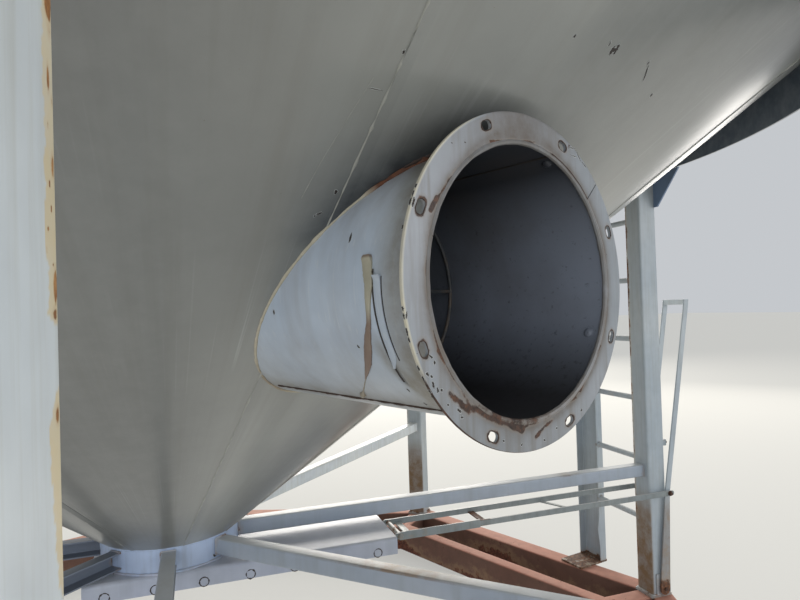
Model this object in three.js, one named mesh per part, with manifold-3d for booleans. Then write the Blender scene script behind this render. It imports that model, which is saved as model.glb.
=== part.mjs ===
// Hopper-bottom grain silo on eight legs and a steel skid.
// Millimetres, +Z up. The origin is on the ground under the middle of the silo's outline.
// Inside the silo group the silo's own axis is x = 0, y = 0, and leg 1 with the
// gate lever stands on +X. Azimuths are in degrees, anticlockwise from +X.

import * as THREE from 'three';
import { mergeVertices } from 'three/addons/utils/BufferGeometryUtils.js';
import Module from 'manifold-3d';

const wasm = await Module();
wasm.setup();

// Where the silo's own axis stands, so that the outline's middle is over the origin:
// the wall ladder reaches farther to +X than the skid does to -X
const AXIS_X = -78.6;

// Clearances
const SEAT = 0.3;
const RUNNING = 5;

// Shell
const WALL_RADIUS = 2286;
const WALL_SHEET = 8;
const SKIRT_BOTTOM = 2226;
const EAVE_HEIGHT = 6030;
const SHELL_SIDES = 72;
const SEAM_AZIMUTH = -31.5;
const WALL_SEAM_AZIMUTH = SEAM_AZIMUTH + 45;

// Hopper cone
const CONE_SLOPE = THREE.MathUtils.degToRad(37.66);
const CONE_SHEET = 8;
const CONE_BOTTOM_RADIUS = 246.2;
const CONE_BOTTOM = 800;

// Roof, neck and lid
const ROOF_SLOPE = THREE.MathUtils.degToRad(30);
const ROOF_SHEET = 8;
const EAVE_OVERHANG = 25;
const EAVE_DRIP = 32;
const NECK_RADIUS = 255;
const NECK_SHEET = 8;
const NECK_RISE = 130;
const LID_RIM_RADIUS = 292;
const LID_RIM_DROP = 42;
const LID_RISE = 60;

// Legs and their gussets
const LEG_COUNT = 8;
const LEG_RADIUS = 2236;
const LEG_DEPTH = 100;
const LEG_WIDTH = 108;
const FOOT_SIZE = 120;
const FOOT_PLATE = 10;
const GUSSET_HEIGHT = 164;
const GUSSET_HALF_WIDTH = 224;
const GUSSET_PLATE = 8;

// Skid of two rings of beams, one under the legs and one inside it
const SKID_HEIGHT = 150;
const OUTER_APOTHEM = 2096;
const OUTER_WIDTH = 108;
const INNER_APOTHEM = 1813;
const INNER_WIDTH = 74;
const TIE_WIDTH = 100;

// Spokes from the collar to the legs
const SPOKE_TOP = 790;
const SPOKE_HEIGHT = 58;
const SPOKE_WIDTH = 50;
const SPOKE_SHEET = 5;

// Collar and gate housing
const COLLAR_RADIUS = 244;
const COLLAR_BORE = 236;
const HOUSING_TOP = 714;
const HOUSING_SHEET = 5;
const HOUSING_HALF_WIDTH = 248;
const HOUSING_DEPTH = 62;
const HOUSING_BACK = -270;
const HOUSING_FRONT = 825;
const RAIL_REACH = 25;
const RAIL_SHEET = 4;

// Slide gate with a tongue to the link
const GATE_SHEET = 8;
const GATE_FRONT = 300;
const TONGUE_HALF_WIDTH = 40;
const PIVOT_X = 890;
const PIVOT_Z = 656;
const PIVOT_ROD = 10;
const PIVOT_PLAY = 0.6;

// Link frame of two flat bars that pass either side of leg 1
const LINK_HALF_GAP = 82;
const LINK_SHEET = 8;
const LINK_HEIGHT = 25;
const LINK_END_MARGIN = 24;
const LINK_TIES = [1290, 1700];

// Lever, with its fulcrum on a band round leg 1
const PIN_X = 2280;
const FULCRUM_X = 2247;
const FULCRUM_Z = 191;
const FULCRUM_ROD = 8;
const LEVER_OUTER_HALF = 74;
const LEVER_SHEET = 8;
const LEVER_BAR = 27;
const LEVER_FOOT = 56;
const HANDLE_X = 2440;
const HANDLE_Z = 1588;
const BAND_SHEET = 6;
const BAND_BACK = 2207;
const BAND_LOW = 165;
const BAND_HIGH = 262;

// Aeration duct
const DUCT_AZIMUTH = -68.6;
const DUCT_HEIGHT = 1634;
const DUCT_BORE = 231;
const DUCT_SHEET = 6;
const DUCT_FACE = 1732;
const DUCT_INNER_END = 960;
const FLANGE_RADIUS = 277;
const FLANGE_SHEET = 6;
const FLANGE_HOLES = 8;
const FLANGE_HOLE_RADIUS = 260;
const FLANGE_HOLE_TURN = 21.6;
const FLANGE_HOLE_WIDTH = 16;
const FLANGE_HOLE_LENGTH = 24;
const GUARD_FACE = 1318;
const GUARD_ROD = 4;

// Ladders
const RUNG_PITCH = 300;
const RUNG_RADIUS = 14;
const FIRST_RUNG = 507;
const LOWER_RUNGS = 6;
const POST_AZIMUTH = 11.6;
const POST_RADIUS = 2290;
const POST_WIDTH = 150;
const POST_DEPTH = 50;
const POST_SHEET = 6;
const RUNG_INSET = 33.5;
const LADDER_AZIMUTH = 6;
const LADDER_HALF_WIDTH = 200;
const LADDER_STANDOFF = 150;
const RAIL_WIDTH = 40;
const RAIL_THICKNESS = 10;
const UPPER_RUNGS = 14;
const BRACKET_HEIGHTS = [2500, 3700, 4900, 5900];
const ROOF_LADDER_RUNGS = 6;

// Materials
const paint = { roughness: 0.55, metalness: 0.1 };
const hopperPaint = new THREE.MeshStandardMaterial({ color: 0x9a9b94, ...paint });
const wallPaint = new THREE.MeshStandardMaterial({ color: 0xb9bdbd, ...paint });
const framePaint = new THREE.MeshStandardMaterial({ color: 0xa9b3bb, ...paint });
const collarPaint = new THREE.MeshStandardMaterial({ color: 0xc3ccd6, ...paint });
const ductPaint = new THREE.MeshStandardMaterial({ color: 0x98a2ac, ...paint });
const skidPaint = new THREE.MeshStandardMaterial({ color: 0xa35a4b, roughness: 0.8, metalness: 0.1 });

// A closed mesh as a solid, with only its corner positions kept
function solid(geometry) {
  const bare = geometry.clone();
  bare.deleteAttribute('normal');
  bare.deleteAttribute('uv');
  const merged = mergeVertices(bare, 1e-3);
  return new wasm.Manifold(new wasm.Mesh({
    numProp: 3,
    vertProperties: new Float32Array(merged.attributes.position.array),
    triVerts: new Uint32Array(merged.index.array),
  }));
}

function geometryOf(body) {
  const mesh = body.getMesh();
  const geometry = new THREE.BufferGeometry();
  geometry.setAttribute('position', new THREE.BufferAttribute(mesh.vertProperties, 3));
  geometry.setIndex(new THREE.BufferAttribute(mesh.triVerts, 1));
  geometry.computeVertexNormals();
  return geometry;
}

// A box between two corners
function block(x0, x1, y0, y1, z0, z1) {
  const geometry = new THREE.BoxGeometry(x1 - x0, y1 - y0, z1 - z0);
  geometry.translate((x0 + x1) / 2, (y0 + y1) / 2, (z0 + z1) / 2);
  return solid(geometry);
}

// A turned body from (radius, height) points; on the axis or closed on itself
function turned(points, sides, firstAzimuth = 0) {
  const profile = points.map(([radius, height]) => new THREE.Vector2(radius, height));
  if (points[0][0] > 0) profile.push(profile[0].clone());
  const geometry = new THREE.LatheGeometry(profile, sides);
  geometry.rotateX(Math.PI / 2);
  geometry.rotateZ(THREE.MathUtils.degToRad(firstAzimuth + 90));
  return solid(geometry);
}

function ring(inner, outer, low, high, sides, firstAzimuth = 0) {
  return turned([[inner, low], [outer, low], [outer, high], [inner, high]], sides, firstAzimuth);
}

// A flat plate from outline points in the XY, XZ or YZ plane
function plate(points, plane, from, to) {
  const shape = new THREE.Shape(points.map(([a, b]) => new THREE.Vector2(a, b)));
  const geometry = new THREE.ExtrudeGeometry(shape, { depth: to - from, bevelEnabled: false });
  const frames = {
    xy: [[1, 0, 0], [0, 1, 0], [0, 0, 1]],
    yz: [[0, 1, 0], [0, 0, 1], [1, 0, 0]],
    xz: [[-1, 0, 0], [0, 0, 1], [0, 1, 0]],
  };
  geometry.translate(0, 0, from);
  const axes = frames[plane].map((axis) => new THREE.Vector3(...axis));
  geometry.applyMatrix4(new THREE.Matrix4().makeBasis(...axes));
  return solid(geometry);
}

// A round rod between two points
function rod(from, to, radius, sides = 8) {
  const start = new THREE.Vector3(...from);
  const end = new THREE.Vector3(...to);
  const geometry = new THREE.CylinderGeometry(radius, radius, start.distanceTo(end), sides);
  const turn = new THREE.Quaternion().setFromUnitVectors(
    new THREE.Vector3(0, 1, 0), end.clone().sub(start).normalize());
  geometry.applyQuaternion(turn);
  geometry.translate(...start.add(end).multiplyScalar(0.5).toArray());
  return solid(geometry);
}

function fuse(bodies) {
  return bodies.reduce((whole, body) => whole.add(body));
}

// The quarter of a body that starts at an azimuth, with half a seat gap at each side
function quarter(body, startAzimuth) {
  const reach = 4000;
  const gap = SEAT / 2;
  return body.intersect(block(gap, reach, gap, reach, -reach, 2 * reach).rotate([0, 0, startAzimuth]));
}

const silo = new THREE.Group();

function place(name, body, material, azimuth = 0) {
  const mesh = new THREE.Mesh(geometryOf(body), material);
  mesh.name = name;
  mesh.rotation.z = THREE.MathUtils.degToRad(azimuth);
  silo.add(mesh);
}

function coneHeight(radius) {
  return CONE_BOTTOM + (radius - CONE_BOTTOM_RADIUS) * Math.tan(CONE_SLOPE);
}

function roofHeight(radius) {
  return EAVE_HEIGHT + SEAT + (WALL_RADIUS - radius) * Math.tan(ROOF_SLOPE);
}

// Everything above the cone's outer face, grown by the seat gap
function aboveCone() {
  const drop = SEAT / Math.cos(CONE_SLOPE);
  const top = coneHeight(WALL_RADIUS) + 400;
  return turned([
    [0, coneHeight(0) - drop], [WALL_RADIUS, coneHeight(WALL_RADIUS) - drop], [WALL_RADIUS, top], [0, top],
  ], SHELL_SIDES, SEAM_AZIMUTH);
}

// The duct's outside as a bar along its axis, at azimuth 0
function ductBar(radius, from, to, sides = 48) {
  return rod([from, 0, DUCT_HEIGHT], [to, 0, DUCT_HEIGHT], radius, sides);
}

function makeWall() {
  const inner = WALL_RADIUS - WALL_SHEET;
  const wall = ring(inner, WALL_RADIUS, SKIRT_BOTTOM, EAVE_HEIGHT, SHELL_SIDES, WALL_SEAM_AZIMUTH);
  for (let i = 0; i < 4; i += 1) {
    place(`wall_quarter_${i + 1}`, quarter(wall, WALL_SEAM_AZIMUTH + 90 * i), wallPaint);
  }
}

function makeCone() {
  const outer = WALL_RADIUS - WALL_SHEET - SEAT;
  const rise = CONE_SHEET / Math.cos(CONE_SLOPE);
  const inset = CONE_SHEET / Math.sin(CONE_SLOPE);
  const cone = turned([
    [CONE_BOTTOM_RADIUS, CONE_BOTTOM], [outer, coneHeight(outer)],
    [outer, coneHeight(outer) + rise], [CONE_BOTTOM_RADIUS - inset, CONE_BOTTOM],
  ], SHELL_SIDES, SEAM_AZIMUTH);
  const hole = ductBar(DUCT_BORE + DUCT_SHEET + SEAT, DUCT_INNER_END - 100, DUCT_FACE);
  const pierced = cone.subtract(hole.rotate([0, 0, DUCT_AZIMUTH]));
  for (let i = 0; i < 4; i += 1) {
    place(`hopper_quarter_${i + 1}`, quarter(pierced, SEAM_AZIMUTH + 90 * i), hopperPaint);
  }
}

function makeRoof() {
  const edge = WALL_RADIUS + EAVE_OVERHANG;
  const rise = ROOF_SHEET / Math.cos(ROOF_SLOPE);
  const hole = NECK_RADIUS + SEAT;
  const roof = turned([
    [edge, roofHeight(edge) - EAVE_DRIP], [edge, roofHeight(edge) + rise],
    [hole, roofHeight(hole) + rise], [hole, roofHeight(hole)],
    [edge - ROOF_SHEET, roofHeight(edge - ROOF_SHEET)], [edge - ROOF_SHEET, roofHeight(edge) - EAVE_DRIP],
  ], SHELL_SIDES, SEAM_AZIMUTH);
  for (let i = 0; i < 4; i += 1) {
    place(`roof_quarter_${i + 1}`, quarter(roof, SEAM_AZIMUTH + 90 * i), wallPaint);
  }
  const neckTop = roofHeight(hole) + NECK_RISE;
  place('roof_neck', ring(NECK_RADIUS - NECK_SHEET, NECK_RADIUS, roofHeight(hole) - 10, neckTop, 36), wallPaint);
  const seat = neckTop + SEAT;
  place('roof_lid', turned([
    [0, seat], [LID_RIM_RADIUS - NECK_SHEET, seat], [LID_RIM_RADIUS - NECK_SHEET, seat - LID_RIM_DROP],
    [LID_RIM_RADIUS, seat - LID_RIM_DROP], [LID_RIM_RADIUS, seat + NECK_SHEET], [0, seat + LID_RISE],
  ], 36), wallPaint);
}

function makeLegs() {
  const inner = LEG_RADIUS - LEG_DEPTH / 2;
  const outer = LEG_RADIUS + LEG_DEPTH / 2;
  const half = LEG_WIDTH / 2;
  const foot = FOOT_SIZE / 2;
  const base = SKID_HEIGHT + SEAT;
  const under = SKIRT_BOTTOM - SEAT;
  const post = block(inner, outer, -half, half, base, under);
  const head = block(inner, WALL_RADIUS - WALL_SHEET - RUNNING, -half, half, under, coneHeight(outer));
  const sole = block(LEG_RADIUS - foot, LEG_RADIUS + foot, -foot, foot, base, base + FOOT_PLATE);
  const gusset = plate([
    [-half, SKIRT_BOTTOM - GUSSET_HEIGHT], [half, SKIRT_BOTTOM - GUSSET_HEIGHT],
    [GUSSET_HALF_WIDTH, under], [-GUSSET_HALF_WIDTH, under],
  ], 'yz', outer - GUSSET_PLATE, outer);
  const leg = fuse([post, head, sole, gusset]);
  for (let i = 0; i < LEG_COUNT; i += 1) {
    const azimuth = (360 / LEG_COUNT) * i;
    const cut = leg.rotate([0, 0, azimuth]).subtract(aboveCone());
    place(`leg_${i + 1}`, cut, framePaint);
  }
}

// Eight-sided rings of beams, tied together under each leg
function makeSkid() {
  const corner = Math.cos(Math.PI / LEG_COUNT);
  const beam = (apothem, width) => ring(
    (apothem - width / 2) / corner, (apothem + width / 2) / corner, 0, SKID_HEIGHT, LEG_COUNT);
  const tie = block(
    INNER_APOTHEM / corner, OUTER_APOTHEM / corner, -TIE_WIDTH / 2, TIE_WIDTH / 2, 0, SKID_HEIGHT);
  const ties = Array.from({ length: LEG_COUNT }, (_, i) => tie.rotate([0, 0, (360 / LEG_COUNT) * i]));
  const skid = fuse([
    beam(OUTER_APOTHEM, OUTER_WIDTH), beam(INNER_APOTHEM, INNER_WIDTH), ...ties,
  ]);
  for (let i = 0; i < 4; i += 1) {
    place(`skid_quarter_${i + 1}`, quarter(skid, 45 + 90 * i), skidPaint);
  }
}

// Channels with the web on the clockwise side and the open side anticlockwise
function makeSpokes() {
  const from = COLLAR_RADIUS + SEAT;
  const to = LEG_RADIUS - LEG_DEPTH / 2 - SEAT;
  const half = SPOKE_WIDTH / 2;
  const low = SPOKE_TOP - SPOKE_HEIGHT;
  const spoke = plate([
    [-half, low], [half, low], [half, low + SPOKE_SHEET], [-half + SPOKE_SHEET, low + SPOKE_SHEET],
    [-half + SPOKE_SHEET, SPOKE_TOP - SPOKE_SHEET], [half, SPOKE_TOP - SPOKE_SHEET],
    [half, SPOKE_TOP], [-half, SPOKE_TOP],
  ], 'yz', from, to);
  for (let i = 0; i < LEG_COUNT; i += 1) {
    place(`spoke_${i + 1}`, spoke, framePaint, (360 / LEG_COUNT) * i);
  }
}

function makeGate() {
  place('outlet_collar', ring(
    COLLAR_BORE, COLLAR_RADIUS, HOUSING_TOP + SEAT, CONE_BOTTOM - SEAT, 48), collarPaint);

  const inside = HOUSING_HALF_WIDTH - HOUSING_SHEET;
  const low = HOUSING_TOP - HOUSING_DEPTH;
  const railLow = low + 9;
  const top = block(
    HOUSING_BACK, HOUSING_FRONT, -HOUSING_HALF_WIDTH, HOUSING_HALF_WIDTH,
    HOUSING_TOP - HOUSING_SHEET, HOUSING_TOP);
  const back = block(
    HOUSING_BACK, HOUSING_BACK + HOUSING_SHEET, -HOUSING_HALF_WIDTH, HOUSING_HALF_WIDTH, low, HOUSING_TOP);
  const sides = [-1, 1].flatMap((side) => {
    const [flangeA, flangeB] = [side * inside, side * HOUSING_HALF_WIDTH].sort((a, b) => a - b);
    const [railA, railB] = [side * (inside - RAIL_REACH), side * inside].sort((a, b) => a - b);
    return [
      block(HOUSING_BACK, HOUSING_FRONT, flangeA, flangeB, low, HOUSING_TOP),
      block(HOUSING_BACK, HOUSING_FRONT, railA, railB, railLow, railLow + RAIL_SHEET),
    ];
  });
  const bore = rod([0, 0, low], [0, 0, HOUSING_TOP + 1], COLLAR_BORE, 48);
  place('gate_housing', fuse([top, back, ...sides]).subtract(bore), framePaint);

  const gateLow = railLow + RAIL_SHEET + SEAT;
  const gateHalf = inside - RUNNING;
  const blade = block(
    HOUSING_BACK + HOUSING_SHEET + RUNNING, GATE_FRONT, -gateHalf, gateHalf, gateLow, gateLow + GATE_SHEET);
  const lugReach = PIVOT_ROD + PIVOT_PLAY + 10;
  const tongue = block(
    GATE_FRONT - 1, PIVOT_X + lugReach, -TONGUE_HALF_WIDTH, TONGUE_HALF_WIDTH, gateLow, gateLow + GATE_SHEET);
  const lug = block(
    PIVOT_X - lugReach, PIVOT_X + lugReach, -TONGUE_HALF_WIDTH, TONGUE_HALF_WIDTH,
    PIVOT_Z - lugReach, gateLow + GATE_SHEET);
  const eye = rod([PIVOT_X, -200, PIVOT_Z], [PIVOT_X, 200, PIVOT_Z], PIVOT_ROD + PIVOT_PLAY, 16);
  place('slide_gate', fuse([blade, tongue, lug]).subtract(eye), framePaint);
}

function makeLink() {
  const outside = LINK_HALF_GAP + LINK_SHEET;
  const low = PIVOT_Z - LINK_HEIGHT / 2;
  const high = PIVOT_Z + LINK_HEIGHT / 2;
  const bars = [-1, 1].map((side) => {
    const [a, b] = [side * LINK_HALF_GAP, side * outside].sort((p, q) => p - q);
    return block(PIVOT_X - LINK_END_MARGIN, PIN_X + LINK_END_MARGIN, a, b, low, high);
  });
  const pivot = rod([PIVOT_X, -outside + 1, PIVOT_Z], [PIVOT_X, outside - 1, PIVOT_Z], PIVOT_ROD, 16);
  const ties = LINK_TIES.map((x) => block(x - 14, x + 14, -outside + 1, outside - 1, low + 2, low + 8));
  place('link_frame', fuse([...bars, pivot, ...ties]), framePaint);
}

// Two tapered arms with round feet, a cross handle, and the band that carries them
function makeLever() {
  const inner = LEVER_OUTER_HALF - LEVER_SHEET;
  const lean = Math.atan2(HANDLE_X - PIN_X, HANDLE_Z - PIVOT_Z);
  const halfBar = LEVER_BAR / 2 / Math.cos(lean);
  const foot = LEVER_FOOT / 2;
  const round = Array.from({ length: 9 }, (_, i) => {
    const angle = Math.PI + (i * Math.PI) / 8;
    return [FULCRUM_X + foot * Math.cos(angle), FULCRUM_Z + foot * Math.sin(angle)];
  });
  const outline = [
    ...round, [PIN_X + halfBar, PIVOT_Z], [HANDLE_X + halfBar, HANDLE_Z + halfBar],
    [HANDLE_X - halfBar, HANDLE_Z + halfBar], [PIN_X - halfBar, PIVOT_Z],
  ];
  const arm = plate(outline.map(([x, z]) => [-x, z]), 'xz', 0, LEVER_SHEET);
  const handle = block(
    HANDLE_X - halfBar, HANDLE_X + halfBar, -LEVER_OUTER_HALF + 1, LEVER_OUTER_HALF - 1,
    HANDLE_Z - halfBar, HANDLE_Z + halfBar);
  const eye = rod([FULCRUM_X, -200, FULCRUM_Z], [FULCRUM_X, 200, FULCRUM_Z], FULCRUM_ROD + PIVOT_PLAY, 16);
  const lever = fuse([
    arm.translate([0, inner, 0]), arm.translate([0, -LEVER_OUTER_HALF, 0]), handle,
  ]).subtract(eye);
  place('gate_lever', lever, framePaint);

  const bandInner = LEG_WIDTH / 2 + SEAT;
  const bandOuter = bandInner + BAND_SHEET;
  const front = LEG_RADIUS + LEG_DEPTH / 2 + SEAT;
  const band = plate([
    [BAND_BACK, -bandOuter], [front + BAND_SHEET, -bandOuter], [front + BAND_SHEET, bandOuter],
    [BAND_BACK, bandOuter], [BAND_BACK, bandInner], [front, bandInner], [front, -bandInner],
    [BAND_BACK, -bandInner],
  ], 'xy', BAND_LOW, BAND_HIGH);
  const pins = [-1, 1].map((side) => rod(
    [FULCRUM_X, side * (bandInner + 3), FULCRUM_Z], [FULCRUM_X, side * (LEVER_OUTER_HALF + 6), FULCRUM_Z],
    FULCRUM_ROD, 16));
  place('lever_bracket', fuse([band, ...pins]), framePaint);
}

function makeDuct() {
  const outer = DUCT_BORE + DUCT_SHEET;
  const back = DUCT_FACE - FLANGE_SHEET;
  const bore = ductBar(DUCT_BORE, DUCT_INNER_END - 10, DUCT_FACE + 10);
  const tube = ductBar(outer, DUCT_INNER_END, back - SEAT).subtract(bore);
  place('duct_tube', tube, ductPaint, DUCT_AZIMUTH);

  const slot = (angle) => {
    const half = (FLANGE_HOLE_LENGTH - FLANGE_HOLE_WIDTH) / 2;
    const ends = [-half, half].map((offset) => rod(
      [back - 5, offset, FLANGE_HOLE_RADIUS], [DUCT_FACE + 5, offset, FLANGE_HOLE_RADIUS],
      FLANGE_HOLE_WIDTH / 2, 12));
    const waist = block(
      back - 5, DUCT_FACE + 5, -half, half,
      FLANGE_HOLE_RADIUS - FLANGE_HOLE_WIDTH / 2, FLANGE_HOLE_RADIUS + FLANGE_HOLE_WIDTH / 2);
    return fuse([...ends, waist]).rotate([angle, 0, 0]).translate([0, 0, DUCT_HEIGHT]);
  };
  const step = 360 / FLANGE_HOLES;
  const slots = Array.from({ length: FLANGE_HOLES }, (_, i) => slot(step * i + FLANGE_HOLE_TURN));
  const flange = ductBar(FLANGE_RADIUS, back, DUCT_FACE).subtract(bore).subtract(fuse(slots));
  place('duct_flange', flange, ductPaint, DUCT_AZIMUTH);

  const reach = DUCT_BORE - SEAT;
  const hoop = ductBar(reach, GUARD_FACE - GUARD_ROD, GUARD_FACE + GUARD_ROD)
    .subtract(ductBar(reach - 2 * GUARD_ROD, GUARD_FACE - 50, GUARD_FACE + 50));
  const inside = reach - GUARD_ROD;
  const bar = rod(
    [GUARD_FACE, -inside, DUCT_HEIGHT], [GUARD_FACE, inside, DUCT_HEIGHT], GUARD_ROD);
  place('duct_guard', hoop.add(bar), ductPaint, DUCT_AZIMUTH);
}

// A channel post beside leg 1, with rungs from the leg to the post
function makeLowerLadder() {
  const turn = POST_AZIMUTH;
  const inner = POST_RADIUS - POST_DEPTH;
  const half = POST_WIDTH / 2;
  const base = SKID_HEIGHT + SEAT;
  const post = plate([
    [inner, -half], [POST_RADIUS, -half], [POST_RADIUS, half], [inner, half],
    [inner, half - POST_SHEET], [POST_RADIUS - POST_SHEET, half - POST_SHEET],
    [POST_RADIUS - POST_SHEET, -half + POST_SHEET], [inner, -half + POST_SHEET],
  ], 'xy', base, SKIRT_BOTTOM - SEAT).rotate([0, 0, turn]);
  const sole = block(
    OUTER_APOTHEM - 10, POST_RADIUS, -half, half, base, base + FOOT_PLATE).rotate([0, 0, turn]);
  const away = THREE.MathUtils.degToRad(turn);
  const middle = POST_RADIUS - RUNG_INSET;
  const postX = middle * Math.cos(away) + (half - 3) * Math.sin(away);
  const postY = middle * Math.sin(away) - (half - 3) * Math.cos(away);
  const rungs = Array.from({ length: LOWER_RUNGS }, (_, i) => {
    const height = FIRST_RUNG + RUNG_PITCH * i;
    return rod([postX, LEG_WIDTH / 2 + SEAT, height], [postX, postY, height], RUNG_RADIUS);
  });
  place('lower_ladder', fuse([post, sole, ...rungs]), framePaint);
}

function makeUpperLadder() {
  const near = WALL_RADIUS + LADDER_STANDOFF;
  const far = near + RAIL_WIDTH;
  const low = FIRST_RUNG + RUNG_PITCH * LOWER_RUNGS - RUNG_PITCH / 3;
  const high = low + RUNG_PITCH * UPPER_RUNGS;
  const outside = LADDER_HALF_WIDTH + RAIL_THICKNESS;
  const sides = [-1, 1].flatMap((side) => {
    const [a, b] = [side * LADDER_HALF_WIDTH, side * outside].sort((p, q) => p - q);
    const brackets = BRACKET_HEIGHTS.map((z) => block(WALL_RADIUS - 40, near + 5, a, b, z - 20, z + 20));
    return [block(near, far, a, b, low, high), ...brackets];
  });
  const middle = near + RAIL_WIDTH / 2;
  const rungs = Array.from({ length: UPPER_RUNGS }, (_, i) => {
    const height = FIRST_RUNG + RUNG_PITCH * (LOWER_RUNGS + i);
    return rod([middle, -outside + 1, height], [middle, outside - 1, height], RUNG_RADIUS);
  });
  const clear = turned([
    [0, 0], [WALL_RADIUS + SEAT, 0], [WALL_RADIUS + SEAT, EAVE_HEIGHT], [0, EAVE_HEIGHT],
  ], SHELL_SIDES, WALL_SEAM_AZIMUTH);
  const ladder = fuse([...sides, ...rungs]).rotate([0, 0, LADDER_AZIMUTH]).subtract(clear);
  place('wall_ladder', ladder, framePaint);
}

// Rungs on two rails whose lower edges are cut to lie on the roof sheets
function makeRoofLadder() {
  const start = WALL_RADIUS - 60;
  const end = NECK_RADIUS + 160;
  const rise = ROOF_SHEET / Math.cos(ROOF_SLOPE) + SEAT / Math.cos(ROOF_SLOPE);
  const lift = 60;
  const outside = LADDER_HALF_WIDTH + RAIL_THICKNESS;
  const outline = [
    [start, roofHeight(start) - lift], [start, roofHeight(start) + rise + lift],
    [end, roofHeight(end) + rise + lift], [end, roofHeight(end) - lift],
  ];
  const rail = plate(outline.map(([x, z]) => [-x, z]), 'xz', 0, RAIL_THICKNESS);
  const rungs = Array.from({ length: ROOF_LADDER_RUNGS }, (_, i) => {
    const x = start - 120 - (i * (start - end - 240)) / (ROOF_LADDER_RUNGS - 1);
    const height = roofHeight(x) + rise + lift / 2 + 10;
    return rod([x, -outside + 1, height], [x, outside - 1, height], RUNG_RADIUS);
  });
  const roofBody = turned([
    [0, 0], [WALL_RADIUS, 0], [WALL_RADIUS, roofHeight(WALL_RADIUS) + rise], [0, roofHeight(0) + rise],
  ], SHELL_SIDES, SEAM_AZIMUTH);
  const ladder = fuse([
    rail.translate([0, LADDER_HALF_WIDTH, 0]), rail.translate([0, -outside, 0]), ...rungs,
  ]);
  place('roof_ladder', ladder.rotate([0, 0, LADDER_AZIMUTH]).subtract(roofBody), framePaint);
}

makeSkid();
makeLegs();
makeSpokes();
makeCone();
makeWall();
makeRoof();
makeGate();
makeLink();
makeLever();
makeDuct();
makeLowerLadder();
makeUpperLadder();
makeRoofLadder();

silo.position.x = AXIS_X;

const model = new THREE.Group();
model.add(silo);

export default model;
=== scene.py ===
"""Looks of a hopper-bottom grain silo: a welded steel bin on eight legs and a skid.

Every piece is worked out in the silo's own frame, in metres: the silo's axis is x = y = 0, the
ground is z = 0 and leg 1 stands on +X. Azimuths are in degrees, anticlockwise from +X seen from
above. turn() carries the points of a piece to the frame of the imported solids.
"""

from __future__ import annotations

import logging
import math
from dataclasses import dataclass, field
from enum import Enum
from typing import Callable, Sequence, Union

import bmesh
import bpy
import numpy as np
from mathutils import Matrix, Vector


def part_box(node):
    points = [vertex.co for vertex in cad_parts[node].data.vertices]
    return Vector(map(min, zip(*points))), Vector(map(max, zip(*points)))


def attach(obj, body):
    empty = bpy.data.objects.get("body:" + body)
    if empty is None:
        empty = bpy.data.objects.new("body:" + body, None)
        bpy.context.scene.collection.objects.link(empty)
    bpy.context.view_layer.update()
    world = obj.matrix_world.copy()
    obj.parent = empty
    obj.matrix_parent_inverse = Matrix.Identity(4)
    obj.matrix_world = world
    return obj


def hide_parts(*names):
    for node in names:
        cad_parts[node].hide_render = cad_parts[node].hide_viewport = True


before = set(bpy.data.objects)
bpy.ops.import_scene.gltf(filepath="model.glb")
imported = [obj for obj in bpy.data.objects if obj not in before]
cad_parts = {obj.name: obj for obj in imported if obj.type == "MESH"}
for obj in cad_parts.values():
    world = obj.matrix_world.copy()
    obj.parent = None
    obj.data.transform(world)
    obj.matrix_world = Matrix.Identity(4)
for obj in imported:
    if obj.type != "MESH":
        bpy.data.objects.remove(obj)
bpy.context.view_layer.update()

log = logging.getLogger("silo")

Array = np.ndarray
MarkValue = Union[float, Array, Callable[[Array], Array]]
Socket = bpy.types.NodeSocket

# The silo's own axis in the frame of the solids
COLLAR_LOW, COLLAR_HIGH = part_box("outlet_collar")
AXIS_X = (COLLAR_LOW.x + COLLAR_HIGH.x) / 2

# Gap between pieces that touch
SEAT = 0.0003

UP = np.array([0.0, 0.0, 1.0])
ALONG_X = np.array([1.0, 0.0, 0.0])
ALONG_Y = np.array([0.0, 1.0, 0.0])


class Body(Enum):
    """What a piece moves with."""

    ROOT = "root"
    GATE = "gate"
    LINK = "link"
    LEVER = "lever"


class Mark(Enum):
    """Values kept on the faces of a piece, which its finish reads."""

    RUST = "rust"
    TONE = "tone"


# Shapes


@dataclass
class Surface:
    """A grid of points, the quads between them and the faces that close its ends."""

    points: Array
    quads: Array
    caps: list[Array]

    def turned(self, azimuth: float) -> "Surface":
        """The same surface, turned about the silo's axis."""
        return Surface(spin(self.points, azimuth), self.quads, self.caps)

    def moved(self, offset: Sequence[float]) -> "Surface":
        """The same surface, moved."""
        return Surface(self.points + np.asarray(offset, float), self.quads, self.caps)


def spin(points: Array, azimuth: float) -> Array:
    """Turns points about the silo's axis: x cos a - y sin a, x sin a + y cos a, z."""
    angle = math.radians(azimuth)
    x, y, z = points[..., 0], points[..., 1], points[..., 2]
    return np.stack(
        [x * math.cos(angle) - y * math.sin(angle), x * math.sin(angle) + y * math.cos(angle), z],
        axis=-1,
    )


def grid_quads(rows: int, cols: int, wrap_rows: bool, wrap_cols: bool) -> Array:
    """Corner numbers of the quads of a grid, where point (i, j) has number i * cols + j.

    Args:
        rows: Rows of points.
        cols: Points in a row.
        wrap_rows: Whether the last row joins the first.
        wrap_cols: Whether the last point of a row joins its first.

    Returns:
        One row of four corner numbers for each quad.
    """
    i = np.arange(rows if wrap_rows else rows - 1)[:, None]
    j = np.arange(cols if wrap_cols else cols - 1)[None, :]
    after_i, after_j = (i + 1) % rows, (j + 1) % cols
    corners = [i * cols + j, i * cols + after_j, after_i * cols + after_j, after_i * cols + j]
    return np.stack([np.broadcast_to(c, (i.size, j.size)) for c in corners], -1).reshape(-1, 4)


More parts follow.
